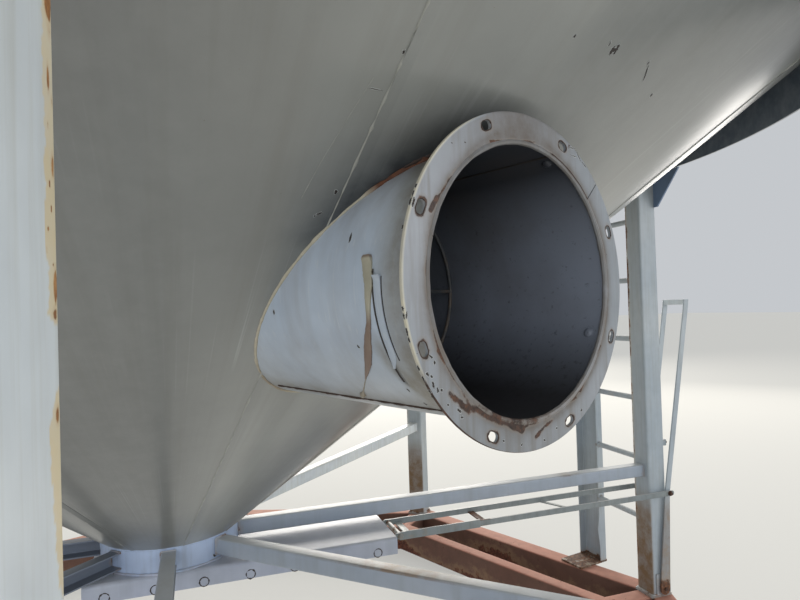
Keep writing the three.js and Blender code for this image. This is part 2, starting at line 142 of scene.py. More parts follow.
def unit(vectors: Array) -> Array:
    """Vectors scaled to length 1."""
    return vectors / np.maximum(np.linalg.norm(vectors, axis=-1, keepdims=True), 1e-12)


def ramp(value: Array | float, start: float, reach: float) -> Array | float:
    """A share that goes from 0 at the start to 1 a reach further on: (value - start) / reach."""
    return np.clip((value - start) / reach, 0, 1)


def bell(value: Array | float, middle: float, width: float) -> Array | float:
    """A bell curve: exp(-((value - middle) / width)^2)."""
    return np.exp(-(((value - middle) / width) ** 2))


def fade(value: Array | float, start: float, length: float) -> Array | float:
    """A share that is 1 up to the start and fades past it: exp(-(value - start) / length)."""
    return np.exp(-np.clip(value - start, 0, None) / length)


def all_round(count: int, first: float = 0.0) -> list[float]:
    """Angles at equal steps once round: first + 360 / count * i."""
    return [first + 360 / count * i for i in range(count)]


def ring_path(radius: float, height: float, count: int) -> Array:
    """A level circle round the silo's axis: r cos a, r sin a, height."""
    angle = np.radians(np.arange(count) * (360 / count))
    return np.column_stack([radius * np.cos(angle), radius * np.sin(angle), np.full(count, height)])


def lofted(points: Array, closed: bool = False) -> Surface:
    """Joins rows of points, each a closed outline.

    Args:
        points: Point j of row i at [i, j].
        closed: Whether the last row joins the first; if not, both ends are closed.

    Returns:
        The surface.
    """
    rows, cols = points.shape[:2]
    ends = [] if closed else [np.arange(cols)[::-1], (rows - 1) * cols + np.arange(cols)]
    return Surface(points, grid_quads(rows, cols, closed, True), ends)


def corner_sides(path: Array, up: Array, closed: bool) -> Array:
    """Vectors square to a flat path, lengthened at its corners so that walls keep their width.

    With s1 and s2 the sides of the stretches before and after a point, the side at the point
    is (s1 + s2) / (1 + s1 . s2).

    Args:
        path: Points of the path, in a plane square to up.
        up: The vector square to that plane.
        closed: Whether the path's last point joins its first.

    Returns:
        One side vector for each point.
    """
    steps = unit(np.roll(path, -1, 0) - path)
    after = np.cross(steps, up)
    before = np.roll(after, 1, 0)
    if not closed:
        after[-1] = after[-2]
        before[0] = after[0]
    return (before + after) / (1 + np.sum(before * after, -1, keepdims=True))


def sweep(outline: Array, path: Array, up: Array, closed: bool = False, size: MarkValue = 1.0,
          side: Array | None = None) -> Surface:
    """Carries a closed outline along a path.

    Point (i, j) is path[i] + size[i] * (outline[j, 0] * side[i] + outline[j, 1] * up[i]).

    Args:
        outline: Points (side, up) of the section.
        path: Points of the path.
        up: The section's second direction, one vector or one for each point of the path.
        closed: Whether the path joins its own start.
        size: Scale of the section, one number or one for each point of the path.
        side: The section's first direction; left out, it is square to the path and to up.

    Returns:
        The swept surface, closed at its ends.
    """
    path = np.asarray(path, float)
    sides = corner_sides(path, up, closed) if side is None else np.broadcast_to(side, path.shape)
    ups = np.broadcast_to(up, path.shape)
    scale = np.broadcast_to(np.asarray(size, float), (len(path),))[:, None, None]
    offsets = outline[None, :, 0, None] * sides[:, None] + outline[None, :, 1, None] * ups[:, None]
    return lofted(path[:, None] + scale * offsets, closed)


def bar(outline: Array, start: Sequence[float], end: Sequence[float], up: Array = UP,
        pitch: float = 0.0) -> Surface:
    """Carries an outline along a straight line.

    Args:
        outline: Points (side, up) of the section.
        start: First end of the line.
        end: Other end of the line.
        up: The section's second direction.
        pitch: Longest distance between rows of points, or 0 for two rows.

    Returns:
        The bar, closed at its ends.
    """
    start, end = np.asarray(start, float), np.asarray(end, float)
    length = float(np.linalg.norm(end - start))
    count = 2 if pitch <= 0 else max(2, int(math.ceil(length / pitch)) + 1)
    share = np.linspace(0, 1, count)[:, None]
    return sweep(outline, start + share * (end - start), np.asarray(up, float))


def bar_along_x(outline: Array, start: float, end: float, y: float, z: float) -> Surface:
    """Carries an outline along X, from one x to another."""
    return bar(outline, (start, y, z), (end, y, z))


def upright(line: Array) -> Array:
    """The direction square to a line and nearest to UP, or to Y when the line is steep."""
    helper = UP if abs(line[2]) < 0.9 else ALONG_Y
    return unit(np.cross(np.cross(line, helper), line))


def rod(start: Sequence[float], end: Sequence[float], radius: float, sides: int) -> Surface:
    """A round bar between two points."""
    line = unit(np.asarray(end, float) - np.asarray(start, float))
    return bar(circle(radius, sides), start, end, upright(line))


def rod_along_y(x: float, z: float, start: float, end: float, radius: float, sides: int) -> Surface:
    """A round bar along Y, from one y to another."""
    return rod((x, start, z), (x, end, z), radius, sides)


def revolve(profile: Array, count: int) -> Surface:
    """Turns a closed (radius, height) profile once about the silo's axis.

    Point (i, j) is r[j] cos a[i], r[j] sin a[i], z[j].

    Args:
        profile: Points (radius, height).
        count: Steps round the axis.

    Returns:
        The closed surface.
    """
    angle = np.radians(np.arange(count) * 360.0 / count)[:, None]
    radius, height = profile[None, :, 0], profile[None, :, 1]
    points = [radius * np.cos(angle), radius * np.sin(angle), height + 0 * angle]
    return lofted(np.stack(points, axis=-1), closed=True)


def circle(radius: float, sides: int) -> Array:
    """Points of a circle: r cos a, r sin a."""
    angle = np.arange(sides) * 2 * math.pi / sides
    return radius * np.stack([np.cos(angle), np.sin(angle)], axis=-1)


def arc_between(centre: Array, start: Array, end: Array, steps: int) -> Array:
    """Points of an arc round a centre: (sin((1-w)t) a + sin(wt) b) / sin t, with t its angle.

    Args:
        centre: The centre.
        start: First point, whose offset from the centre is a.
        end: Last point, whose offset is b.
        steps: Steps from one to the other.

    Returns:
        The points, both ends with them.
    """
    a, b = start - centre, end - centre
    turn_angle = math.acos(np.clip(np.dot(a, b) / (np.linalg.norm(a) * np.linalg.norm(b)), -1, 1))
    share = np.linspace(0, 1, steps + 1)[:, None]
    blend = np.sin((1 - share) * turn_angle) * a + np.sin(share * turn_angle) * b
    return centre + blend / math.sin(turn_angle)


def rounded(corners: Sequence[Sequence[float]], radius: float, steps: int = 4,
            closed: bool = True) -> Array:
    """An outline whose corners are arcs.

    Args:
        corners: Corner points.
        radius: Radius of the arcs.
        steps: Steps in each arc.
        closed: Whether the last corner joins the first.

    Returns:
        Points of the rounded outline.
    """
    points = np.asarray(corners, float)
    made = []
    for i, corner in enumerate(points):
        if not closed and i in (0, len(points) - 1):
            made.append(corner[None])
            continue
        back = unit(points[i - 1] - corner)
        on = unit(points[(i + 1) % len(points)] - corner)
        half = math.acos(np.clip(np.dot(back, on), -1, 1)) / 2
        reach = radius / math.tan(half)
        centre = corner + unit(back + on) * radius / math.sin(half)
        made.append(arc_between(centre, corner + back * reach, corner + on * reach, steps))
    return np.concatenate(made)


def box_outline(width: float, height: float, radius: float, steps: int = 3) -> Array:
    """A rounded rectangle round the origin."""
    w, h = width / 2, height / 2
    return rounded([(-w, -h), (w, -h), (w, h), (-w, h)], radius, steps)


def dense(outline: Array, pitch: float) -> Array:
    """The same closed outline with points no farther apart than a pitch.

    Args:
        outline: Its points.
        pitch: Longest distance between two.

    Returns:
        The points.
    """
    made = []
    for start, end in zip(outline, np.roll(outline, -1, 0)):
        count = max(1, int(math.ceil(np.linalg.norm(end - start) / pitch)))
        made.append(start + np.arange(count)[:, None] / count * (end - start))
    return np.concatenate(made)


def folded(corners: Sequence[Sequence[float]], sheet: float, bend: float, steps: int = 4) -> Array:
    """The section of a folded sheet, from the corners of its middle line.

    The middle line gets arcs at its bends, and is moved half a sheet to either side.

    Args:
        corners: Corners of the sheet's middle line.
        sheet: Thickness.
        bend: Radius of the middle line at a bend.
        steps: Steps in each bend.

    Returns:
        Points of the closed outline.
    """
    middle = rounded(corners, bend, steps, closed=False)
    flat = np.column_stack([middle, np.zeros(len(middle))])
    sides = corner_sides(flat, UP, False)[:, :2] * sheet / 2
    return np.concatenate([middle + sides, (middle - sides)[::-1]])


def prism(outline: Array, origin: Sequence[float], across: Array, up: Array, depth: float) -> Surface:
    """A flat plate from an outline in the plane of two directions.

    Args:
        outline: Points (across, up).
        origin: Where the outline's origin lies, in the middle of the plate's thickness.
        across: First direction.
        up: Second direction.
        depth: Thickness.

    Returns:
        The plate.
    """
    normal = np.cross(across, up)
    middle = np.asarray(origin, float)
    path = np.stack([middle - normal * depth / 2, middle + normal * depth / 2])
    return sweep(outline, path, up, side=across)


class Skin:
    """Surfaces gathered into one piece, with the marks that its finish reads."""

    def __init__(self) -> None:
        """Starts empty."""
        self.points: list[Array] = []
        self.faces: list[list[int]] = []
        self.finishes: list[int] = []
        self.marks: dict[Mark, list[Array]] = {mark: [] for mark in Mark}
        self.count = 0

    def add(self, surface: Surface, finish: int | Array = 0, rust: MarkValue = 0.0,
            tone: MarkValue = 0.0) -> "Skin":
        """Adds a surface.

        Args:
            surface: The surface.
            finish: Number of the finish among those of the piece, or one for each face.
            rust: Rust mark, as a number, a function of the points, or an array with one value
                for each point, or with two dimensions as the grid has, of which one may be 1.
            tone: Tone mark, likewise.

        Returns:
            This skin.
        """
        points = surface.points.reshape(-1, 3)
        faces = (surface.quads + self.count).tolist() + [(c + self.count).tolist() for c in surface.caps]
        self.faces += faces
        self.finishes += np.broadcast_to(finish, (len(faces),)).tolist()
        for mark, value in ((Mark.RUST, rust), (Mark.TONE, tone)):
            found = np.asarray(value(points) if callable(value) else value, float)
            shape = surface.points.shape[:-1] if found.ndim == 2 else (len(points),)
            self.marks[mark].append(np.broadcast_to(found, shape).reshape(-1))
        self.points.append(points)
        self.count += len(points)
        return self

    def mesh(self, name: str) -> bpy.types.Mesh:
        """The mesh, with its faces pointing outwards and its marks at the corners of its faces."""
        mesh = bpy.data.meshes.new(name)
        mesh.from_pydata(turn(np.concatenate(self.points)), [], self.faces)
        mesh.polygons.foreach_set("material_index", np.array(self.finishes, np.int32))
        corners = np.zeros(len(mesh.loops), np.int32)
        mesh.loops.foreach_get("vertex_index", corners)
        for mark, values in self.marks.items():
            layer = mesh.attributes.new(mark.value, "FLOAT", "CORNER")
            layer.data.foreach_set("value", np.concatenate(values).astype(np.float32)[corners])
        face_out(mesh)
        return mesh


def face_out(mesh: bpy.types.Mesh) -> None:
    """Turns the faces of a mesh outwards."""
    work = bmesh.new()
    work.from_mesh(mesh)
    bmesh.ops.recalc_face_normals(work, faces=work.faces)
    work.to_mesh(mesh)
    work.free()


def turn(points: Array) -> Array:
    """Carries points from the silo's frame to the frame of the solids."""
    return points + np.array([AXIS_X, 0.0, 0.0])


def cut(piece: bpy.types.Object, cutters: Sequence[Surface]) -> None:
    """Takes closed surfaces out of a piece.

    Args:
        piece: The piece.
        cutters: Closed surfaces to take away.
    """
    tools = []
    for number, surface in enumerate(cutters):
        tool = bpy.data.objects.new(f"cutter_{number}", Skin().add(surface).mesh(f"cutter_{number}"))
        bpy.context.scene.collection.objects.link(tool)
        step = piece.modifiers.new(f"cut_{number}", "BOOLEAN")
        step.operation = "DIFFERENCE"
        step.solver = "EXACT"
        step.object = tool
        tools.append(tool)
    settled = piece.evaluated_get(bpy.context.evaluated_depsgraph_get())
    mesh = bpy.data.meshes.new_from_object(settled)
    piece.modifiers.clear()
    piece.data = mesh
    for tool in tools:
        bpy.data.objects.remove(tool)


@dataclass
class Maker:
    """Turns skins into finished pieces, and counts them."""

    finishes: dict[str, bpy.types.Material]
    pieces: int = 0

    def make(self, name: str, skin: Skin, finishes: Sequence[str],
             body: Body = Body.ROOT, stands_for: Sequence[str] = (), bevel: float = 0.0,
             crease: float = 35.0, cutters: Sequence[Surface] = (),
             wall: float = 0.0) -> bpy.types.Object:
        """Makes a piece.

        Args:
            name: Name of the piece.
            skin: Its surfaces.
            finishes: Names of its finishes.
            body: What it moves with.
            stands_for: Solids that it replaces.
            bevel: Width of the small rounding along sharp edges, or 0.
            crease: Angle in degrees above which an edge stays sharp.
            cutters: Closed surfaces to take out of it.
            wall: Thickness given inwards to an open sheet, or 0.

        Returns:
            The object.
        """
        piece = bpy.data.objects.new(name, skin.mesh(name))
        bpy.context.scene.collection.objects.link(piece)
        if cutters:
            cut(piece, cutters)
        piece.data.name = name
        numbers = np.zeros(len(piece.data.polygons), np.int32)
        piece.data.polygons.foreach_get("material_index", numbers)
        piece.data.materials.clear()
        for finish in finishes:
            piece.data.materials.append(self.finishes[finish])
        piece.data.polygons.foreach_set("material_index", numbers)
        piece.data.shade_smooth()
        piece.data.set_sharp_from_angle(angle=math.radians(crease))
        if wall:
            step = piece.modifiers.new("wall", "SOLIDIFY")
            step.thickness = wall
            step.offset = -1.0
            step.use_rim = True
            step.material_offset = len(finishes) - 1
            step.material_offset_rim = 0
        if bevel:
            step = piece.modifiers.new("edges", "BEVEL")
            step.width = bevel
            step.segments = 2
            step.limit_method = "ANGLE"
            step.angle_limit = math.radians(45)
            step.harden_normals = True
        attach(piece, body.value)
        if stands_for:
            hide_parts(*stands_for)
        self.pieces += 1
        log.info("%s: %d points, on %s", name, len(piece.data.vertices), body.value)
        return piece


# Finishes


def linear(code: str) -> tuple[float, float, float, float]:
    """An sRGB hex colour as linear light: v / 12.92 up to 0.04045, else ((v + 0.055) / 1.055)^2.4."""
    parts = [int(code[i:i + 2], 16) / 255 for i in (1, 3, 5)]
    light = [v / 12.92 if v <= 0.04045 else ((v + 0.055) / 1.055) ** 2.4 for v in parts]
    return (light[0], light[1], light[2], 1.0)


def per_mm(size: float) -> float:
    """The scale of a pattern whose cells are so many millimetres wide."""
    return 1000.0 / size


class Web:
    """The nodes of one material."""

    def __init__(self, name: str) -> None:
        """Starts a material with no nodes."""
        self.material = bpy.data.materials.new(name)
        self.material.use_nodes = True
        self.tree = self.material.node_tree
        self.tree.nodes.clear()

    def add(self, kind: str, output: str, values: dict | None = None) -> Socket:
        """Adds a node.

        Args:
            kind: Its type, without the word ShaderNode before it.
            output: Name of the output to give back.
            values: Its properties and sockets, by name or number. The output of another node is
                linked, and an sRGB hex code is turned to linear light.

        Returns:
            The output.
        """
        made = self.tree.nodes.new("ShaderNode" + kind)
        for name, value in (values or {}).items():
            if isinstance(value, Socket):
                self.tree.links.new(value, made.inputs[name])
                continue
            plain = linear(value) if str(value).startswith("#") else value
            if isinstance(name, str) and hasattr(made, name):
                setattr(made, name, plain)
            else:
                made.inputs[name].default_value = plain
        return made.outputs[output]

    def close(self, shader: Socket) -> bpy.types.Material:
        """Feeds a shader to the surface and gives the material."""
        end = self.tree.nodes.new("ShaderNodeOutputMaterial")
        self.tree.links.new(shader, end.inputs["Surface"])
        return self.material


class Runs(Enum):
    """Which way dirt runs down a piece."""

    UPRIGHT = "straight down"
    CONE = "down the slope of a cone round the silo's axis"
    NONE = "nowhere"


@dataclass(frozen=True)
class Paint:
    """Sprayed alkyd enamel on mill steel, years outdoors.

    It gives the eye a satin grey with chalky patches, faint runs of dirt and hairline scratches,
    brown rust where the rust mark asks for it, and small dark chips. The tone mark darkens it
    where it is above 0 and pales it where it is below: stains on most pieces, painted shade and
    painted highlights on some.
    """

    name: str
    coat: str
    chalk: str
    dirt: str = "#7d7869"
    dirt_share: float = 0.3
    runs: Runs = Runs.UPRIGHT
    run_width_mm: float = 90.0
    mottle: float = 0.03
    scratches: float = 0.0
    chips: float = 0.0
    chip_mm: float = 16.0
    dust_and_painted_light: float = 0.25
    upper_face_colour: str = "#b4ad9d"
    side_dirt_and_shade: float = 0.0
    side_dirt_and_shade_colour: str = "#3a3027"
    even: float = 0.35
    stain: str = "#6a5c49"
    pale: str = "#cdc9b6"
    halo: float = 0.45
    halo_colour: str = "#a58764"
    rust: tuple[str, str, str] = ("#35251c", "#62422d", "#93623f")
    roughness: float = 0.42
    sheen_coat: float = 0.1
    ripple: float = 0.35

    def build(self) -> bpy.types.Material:
        """Makes the material."""
        web = Web(self.name)
        spot = web.add("TexCoord", "Object")
        colour = self.with_dirt(web, spot, self.coat_colour(web, spot))
        grit = web.add("TexNoise", "Fac", {
            "Scale": per_mm(55), "Detail": 9.0, "Roughness": 0.68, "Vector": spot})
        colour = self.with_tone(web, grit, colour)
        mark = web.add("Attribute", "Fac", {"attribute_name": Mark.RUST.value})
        reach = web.add("Math", "Value", {"operation": "MULTIPLY_ADD", 0: grit, 1: 0.9, 2: mark})
        chip = self.chip_mask(web, spot)
        rusty = web.add("MapRange", "Result", {"Value": reach, "From Min": 0.88, "From Max": 0.96})
        bare = web.add("Math", "Value", {"operation": "MAXIMUM", 0: rusty, 1: chip})
        stained = web.add("MapRange", "Result", {
            "Value": reach, "From Min": 0.7, "From Max": 0.94, "To Max": self.halo})
        colour = web.add("MixRGB", "Color", {
            "Fac": stained, "Color1": colour, "Color2": self.halo_colour})
        rust = self.rust_colour(web, spot)
        colour = web.add("MixRGB", "Color", {"Fac": bare, "Color1": colour, "Color2": rust})
        rough = web.add("Math", "Value", {
            "operation": "MULTIPLY_ADD", 0: bare, 1: 0.4, 2: self.roughness})
        normal = self.relief(web, spot, bare)
        return web.close(web.add("BsdfPrincipled", "BSDF", {
            "Metallic": 0.0, "IOR": 1.5, "Coat Weight": self.sheen_coat, "Coat Roughness": 0.22,
            "Base Color": colour, "Roughness": rough, "Normal": normal}))

    def coat_colour(self, web: Web, spot: Socket) -> Socket:
        """The coat with its chalky patches, 400 mm wide, and a fine mottle, 40 mm wide."""
        broad = web.add("TexNoise", "Fac", {
            "Scale": per_mm(400), "Detail": 5.0, "Roughness": 0.6, "Vector": spot})
        patch = web.add("MapRange", "Result", {"Value": broad, "From Min": 0.36, "From Max": 0.66})
        coat = web.add("MixRGB", "Color", {"Fac": patch, "Color1": self.coat, "Color2": self.chalk})
        fine = web.add("TexNoise", "Fac", {"Scale": per_mm(40), "Detail": 7.0, "Vector": spot})
        shade = web.add("MapRange", "Result", {"Value": fine, "From Min": 0.3, "From Max": 0.7,
            "To Min": 1 - self.mottle, "To Max": 1 + self.mottle})
        return web.add("VectorMath", "Vector", {
            "operation": "SCALE", "Vector": coat, "Scale": shade})

    def with_dirt(self, web: Web, spot: Socket, colour: Socket) -> Socket:
        """The coat under runs of dirt and scratches, with a layer on its upper faces and one on its side
        faces: dirt on most paints, painted light and shade on the tops and painted shade on the sides
        of some.
        """
        if self.runs is not Runs.NONE:
            run = web.add("TexNoise", "Fac", {
                "Vector": self.run_place(web, spot, 0.07), "Scale": per_mm(self.run_width_mm),
                "Detail": 4.0, "Roughness": 0.6})
            share = web.add("MapRange", "Result", {
                "Value": run, "From Min": 0.46, "From Max": 0.74, "To Max": self.dirt_share})
            colour = web.add("MixRGB", "Color", {
                "Fac": share, "Color1": colour, "Color2": self.dirt})
        if self.scratches > 0:
            colour = self.with_scratches(web, spot, colour)
        normal = web.add("NewGeometry", "Normal")
        facing = web.add("SeparateXYZ", "Z", {"Vector": normal})
        # Upper-face layer: dirt, and on some paints painted light and shade; side-face layer: dirt and
        # painted shade.
        layers = [(0.4, 0.98, self.dust_and_painted_light, self.upper_face_colour)]
        if self.side_dirt_and_shade > 0:
            layers.append((0.85, 0.2, self.side_dirt_and_shade, self.side_dirt_and_shade_colour))
        for low, high, most, over in layers:
            share = web.add("MapRange", "Result", {
                "Value": facing, "From Min": low, "From Max": high, "To Max": most})
            colour = web.add("MixRGB", "Color", {"Fac": share, "Color1": colour, "Color2": over})
        return colour

    def with_scratches(self, web: Web, spot: Socket, colour: Socket) -> Socket:
        """Pale hairlines down the piece, 5 mm apart at the least, in patches half a metre wide.

        A real one is a fraction of a millimetre wide. Here it is 1 mm, so that it shows.
        """
        line = web.add("TexNoise", "Fac", {
            "Vector": self.run_place(web, spot, 0.012), "Scale": per_mm(7), "Detail": 1.0})
        share = web.add("MapRange", "Result", {
            "Value": line, "From Min": 0.63, "From Max": 0.72, "To Max": self.scratches})
        where = web.add("TexNoise", "Fac", {"Scale": per_mm(500), "Detail": 3.0, "Vector": spot})
        patch = web.add("MapRange", "Result", {"Value": where, "From Min": 0.48, "From Max": 0.62})
        kept = web.add("Math", "Value", {"operation": "MULTIPLY", 0: share, 1: patch})
        return web.add("MixRGB", "Color", {"Fac": kept, "Color1": colour, "Color2": "#d5d8d6"})

    def with_tone(self, web: Web, grit: Socket, colour: Socket) -> Socket:
        """The colour darkened where the tone mark is above 0 and paled where it is below: stains, and
        on some pieces painted shade and painted highlights.
        """
        tone = web.add("Attribute", "Fac", {"attribute_name": Mark.TONE.value})
        patchy = web.add("MapRange", "Result", {
            "Value": grit, "From Min": 0.34, "From Max": 0.6, "To Min": self.even})
        share = web.add("Math", "Value", {"operation": "MULTIPLY", 0: tone, 1: patchy})
        for low, over in ((1.0, self.stain), (-1.0, self.pale)):
            part = web.add("MapRange", "Result", {"Value": share, "From Min": 0.0, "From Max": low})
            colour = web.add("MixRGB", "Color", {"Fac": part, "Color1": colour, "Color2": over})
        return colour

    def run_place(self, web: Web, spot: Socket, squeeze: float) -> Socket:
        """Coordinates that change little down a run.

        Upright runs shrink Z. On a cone the place is turned to a circle of 1.2 m round the
        silo's axis, so that a run follows the slope.

        Args:
            web: The material's nodes.
            spot: A point's place.
            squeeze: Share of the way down that is left.

        Returns:
            The coordinates.
        """
        if self.runs is Runs.UPRIGHT:
            return web.add("Mapping", "Vector", {"Scale": (1.0, 1.0, squeeze), "Vector": spot})
        found = web.add("Mapping", "Vector", {
            "Location": (-AXIS_X, 0.0, 0.0), "Scale": (1.0, 1.0, 0.0), "Vector": spot})
        for values in ({"operation": "NORMALIZE"}, {"operation": "SCALE", "Scale": 1.2}):
            found = web.add("VectorMath", "Vector", {**values, 0: found})
        height = web.add("VectorMath", "Vector", {
            "operation": "MULTIPLY", 0: spot, 1: (0.0, 0.0, squeeze)})
        return web.add("VectorMath", "Vector", {"operation": "ADD", 0: found, 1: height})

    def chip_mask(self, web: Web, spot: Socket) -> Socket:
        """Where the coat has chipped: dark specks."""
        speck = web.add("TexNoise", "Fac", {
            "Scale": per_mm(self.chip_mm), "Detail": 3.0, "Roughness": 0.55, "Vector": spot})
        low = 0.82 - self.chips
        return web.add("MapRange", "Result", {
            "Value": speck, "From Min": low, "From Max": low + 0.02})

    def rust_colour(self, web: Web, spot: Socket) -> Socket:
        """Rust from dark to light, in grains about 14 mm wide."""
        grain = web.add("TexNoise", "Fac", {
            "Scale": per_mm(14), "Detail": 8.0, "Roughness": 0.7, "Vector": spot})
        scale = web.add("ValToRGB", "Color", {"Fac": grain})
        stops = scale.node.color_ramp.elements
        stops[0].position, stops[0].color = 0.32, linear(self.rust[0])
        stops[1].position, stops[1].color = 0.68, linear(self.rust[2])
        stops.new(0.5).color = linear(self.rust[1])
        return scale

    def relief(self, web: Web, spot: Socket, bare: Socket) -> Socket:
        """Slow ripples 180 mm wide, orange peel 4 mm wide, and pits where rust is bare."""
        slow = web.add("TexNoise", "Fac", {"Scale": per_mm(180), "Detail": 2.0, "Vector": spot})
        sheet = web.add("Bump", "Normal", {
            "Strength": self.ripple, "Distance": 0.01, "Height": slow})
        peel = web.add("TexNoise", "Fac", {"Scale": per_mm(4), "Detail": 2.0, "Vector": spot})
        skin = web.add("Bump", "Normal", {
            "Strength": 0.12, "Distance": 0.0006, "Height": peel, "Normal": sheet})
        pit = web.add("Math", "Value", {"operation": "MULTIPLY", 0: peel, 1: bare})
        return web.add("Bump", "Normal", {
            "Strength": 0.7, "Distance": 0.0015, "Height": pit, "Normal": skin})


@dataclass(frozen=True)
class ShadedDirtySheet:
    """The inside of rolled steel sheet that damp air blows through.

    It gives the eye a dull blue-grey, darkened by painted shade on all but one side, with soft
    brown stains, darker towards the bottom, and with dark flecks on the lowest part.
    """

    name: str = "dirty_rolled_steel_painted_shade"
    base: str = "#8b929d"
    shade_film: str = "#2f3238"
    stain: str = "#4c4236"
    floor: str = "#2a2724"
    side: tuple[float, float, float] = (0.9311, 0.3649, 0.0)
    middle: float = 1.60

    def build(self) -> bpy.types.Material:
        """Makes the material.

        Painted shade darkens all but the wall on the side that side points to, which keeps the base
        colour as the lit side. The colour darkens downwards, with stains 300 mm wide and dark specks
        13 mm wide.
        """
        web = Web(self.name)
        spot = web.add("TexCoord", "Object")
        across = web.add("VectorMath", "Value", {"operation": "DOT_PRODUCT", 0: spot, 1: self.side})
        zero = AXIS_X * self.side[0]
        # painted shade: the lit side keeps the base colour, the rest takes the shade colour
        lit_side = web.add("MapRange", "Result", {
            "Value": across, "From Min": zero + 0.11, "From Max": zero + 0.26})
        colour = web.add("MixRGB", "Color", {
            "Fac": lit_side, "Color1": self.shade_film, "Color2": self.base})
        broad = web.add("TexNoise", "Fac", {
            "Scale": per_mm(300), "Detail": 7.0, "Roughness": 0.6, "Vector": spot})
        share = web.add("MapRange", "Result", {
            "Value": broad, "From Min": 0.45, "From Max": 0.75, "To Max": 0.5})
        colour = web.add("MixRGB", "Color", {"Fac": share, "Color1": colour, "Color2": self.stain})
        height = web.add("SeparateXYZ", "Z", {"Vector": spot})
        low = web.add("MapRange", "Result", {
            "Value": height, "From Min": self.middle - 0.03, "From Max": self.middle - 0.19,
            "To Max": 0.72})
        colour = web.add("MixRGB", "Color", {"Fac": low, "Color1": colour, "Color2": self.floor})
        speck = web.add("TexNoise", "Fac", {
            "Scale": per_mm(13), "Detail": 7.0, "Roughness": 0.7, "Vector": spot})
        dark = web.add("Math", "Value", {"operation": "MULTIPLY_ADD", 0: low, 1: 0.12, 2: speck})
        fleck = web.add("MapRange", "Result", {
            "Value": dark, "From Min": 0.6, "From Max": 0.7, "To Max": 0.5})
        colour = web.add("MixRGB", "Color", {"Fac": fleck, "Color1": colour, "Color2": "#1f1b18"})
        bump = web.add("Bump", "Normal", {"Strength": 0.25, "Distance": 0.002, "Height": broad})
        return web.close(web.add("BsdfPrincipled", "BSDF", {
            "Metallic": 0.0, "Roughness": 0.5, "Base Color": colour, "Normal": bump}))


@dataclass(frozen=True)
class Steel:
    """Bolts and pins of bare steel, gone dull.

    It gives the eye a grey metal, with as much brown as its share says.
    """

    name: str
    metal: str
    rust_share: float
    roughness: float = 0.5

    def build(self) -> bpy.types.Material:
        """Makes the material: rust in patches 9 mm wide."""
        web = Web(self.name)
        spot = web.add("TexCoord", "Object")
        grain = web.add("TexNoise", "Fac", {"Scale": per_mm(9), "Detail": 6.0, "Vector": spot})
        low = 0.75 - 0.5 * self.rust_share
        share = web.add("MapRange", "Result", {
            "Value": grain, "From Min": low, "From Max": low + 0.12})
        colour = web.add("MixRGB", "Color", {
            "Fac": share, "Color1": self.metal, "Color2": "#4a2f20"})
        metallic = web.add("Math", "Value", {
            "operation": "SUBTRACT", "use_clamp": True, 0: 0.9, 1: share})
        bump = web.add("Bump", "Normal", {"Strength": 0.4, "Distance": 0.0008, "Height": grain})
        return web.close(web.add("BsdfPrincipled", "BSDF", {
            "Roughness": self.roughness, "Base Color": colour, "Metallic": metallic,
            "Normal": bump}))


@dataclass(frozen=True)
class Sealant:
    """Polyurethane joint sealant, smeared by hand and weathered.

    It gives the eye a matt cream bead; where the tone mark is 1, rust has run over it.
    """

    name: str = "polyurethane_sealant"

    def build(self) -> bpy.types.Material:
        """Makes the material: mottle 12 mm wide."""
        web = Web(self.name)
        spot = web.add("TexCoord", "Object")
        grain = web.add("TexNoise", "Fac", {"Scale": per_mm(12), "Detail": 5.0, "Vector": spot})
        cream, rust = (web.add("MixRGB", "Color", {"Fac": grain, "Color1": light, "Color2": dark,
        }) for light, dark in (("#c9c2ad", "#a39c88"), ("#7a4828", "#33211a")))
        tone = web.add("Attribute", "Fac", {"attribute_name": Mark.TONE.value})
        colour = web.add("MixRGB", "Color", {"Fac": tone, "Color1": cream, "Color2": rust})
        bump = web.add("Bump", "Normal", {"Strength": 0.5, "Distance": 0.001, "Height": grain})
        return web.close(web.add("BsdfPrincipled", "BSDF", {
            "Roughness": 0.75, "Base Color": colour, "Normal": bump}))


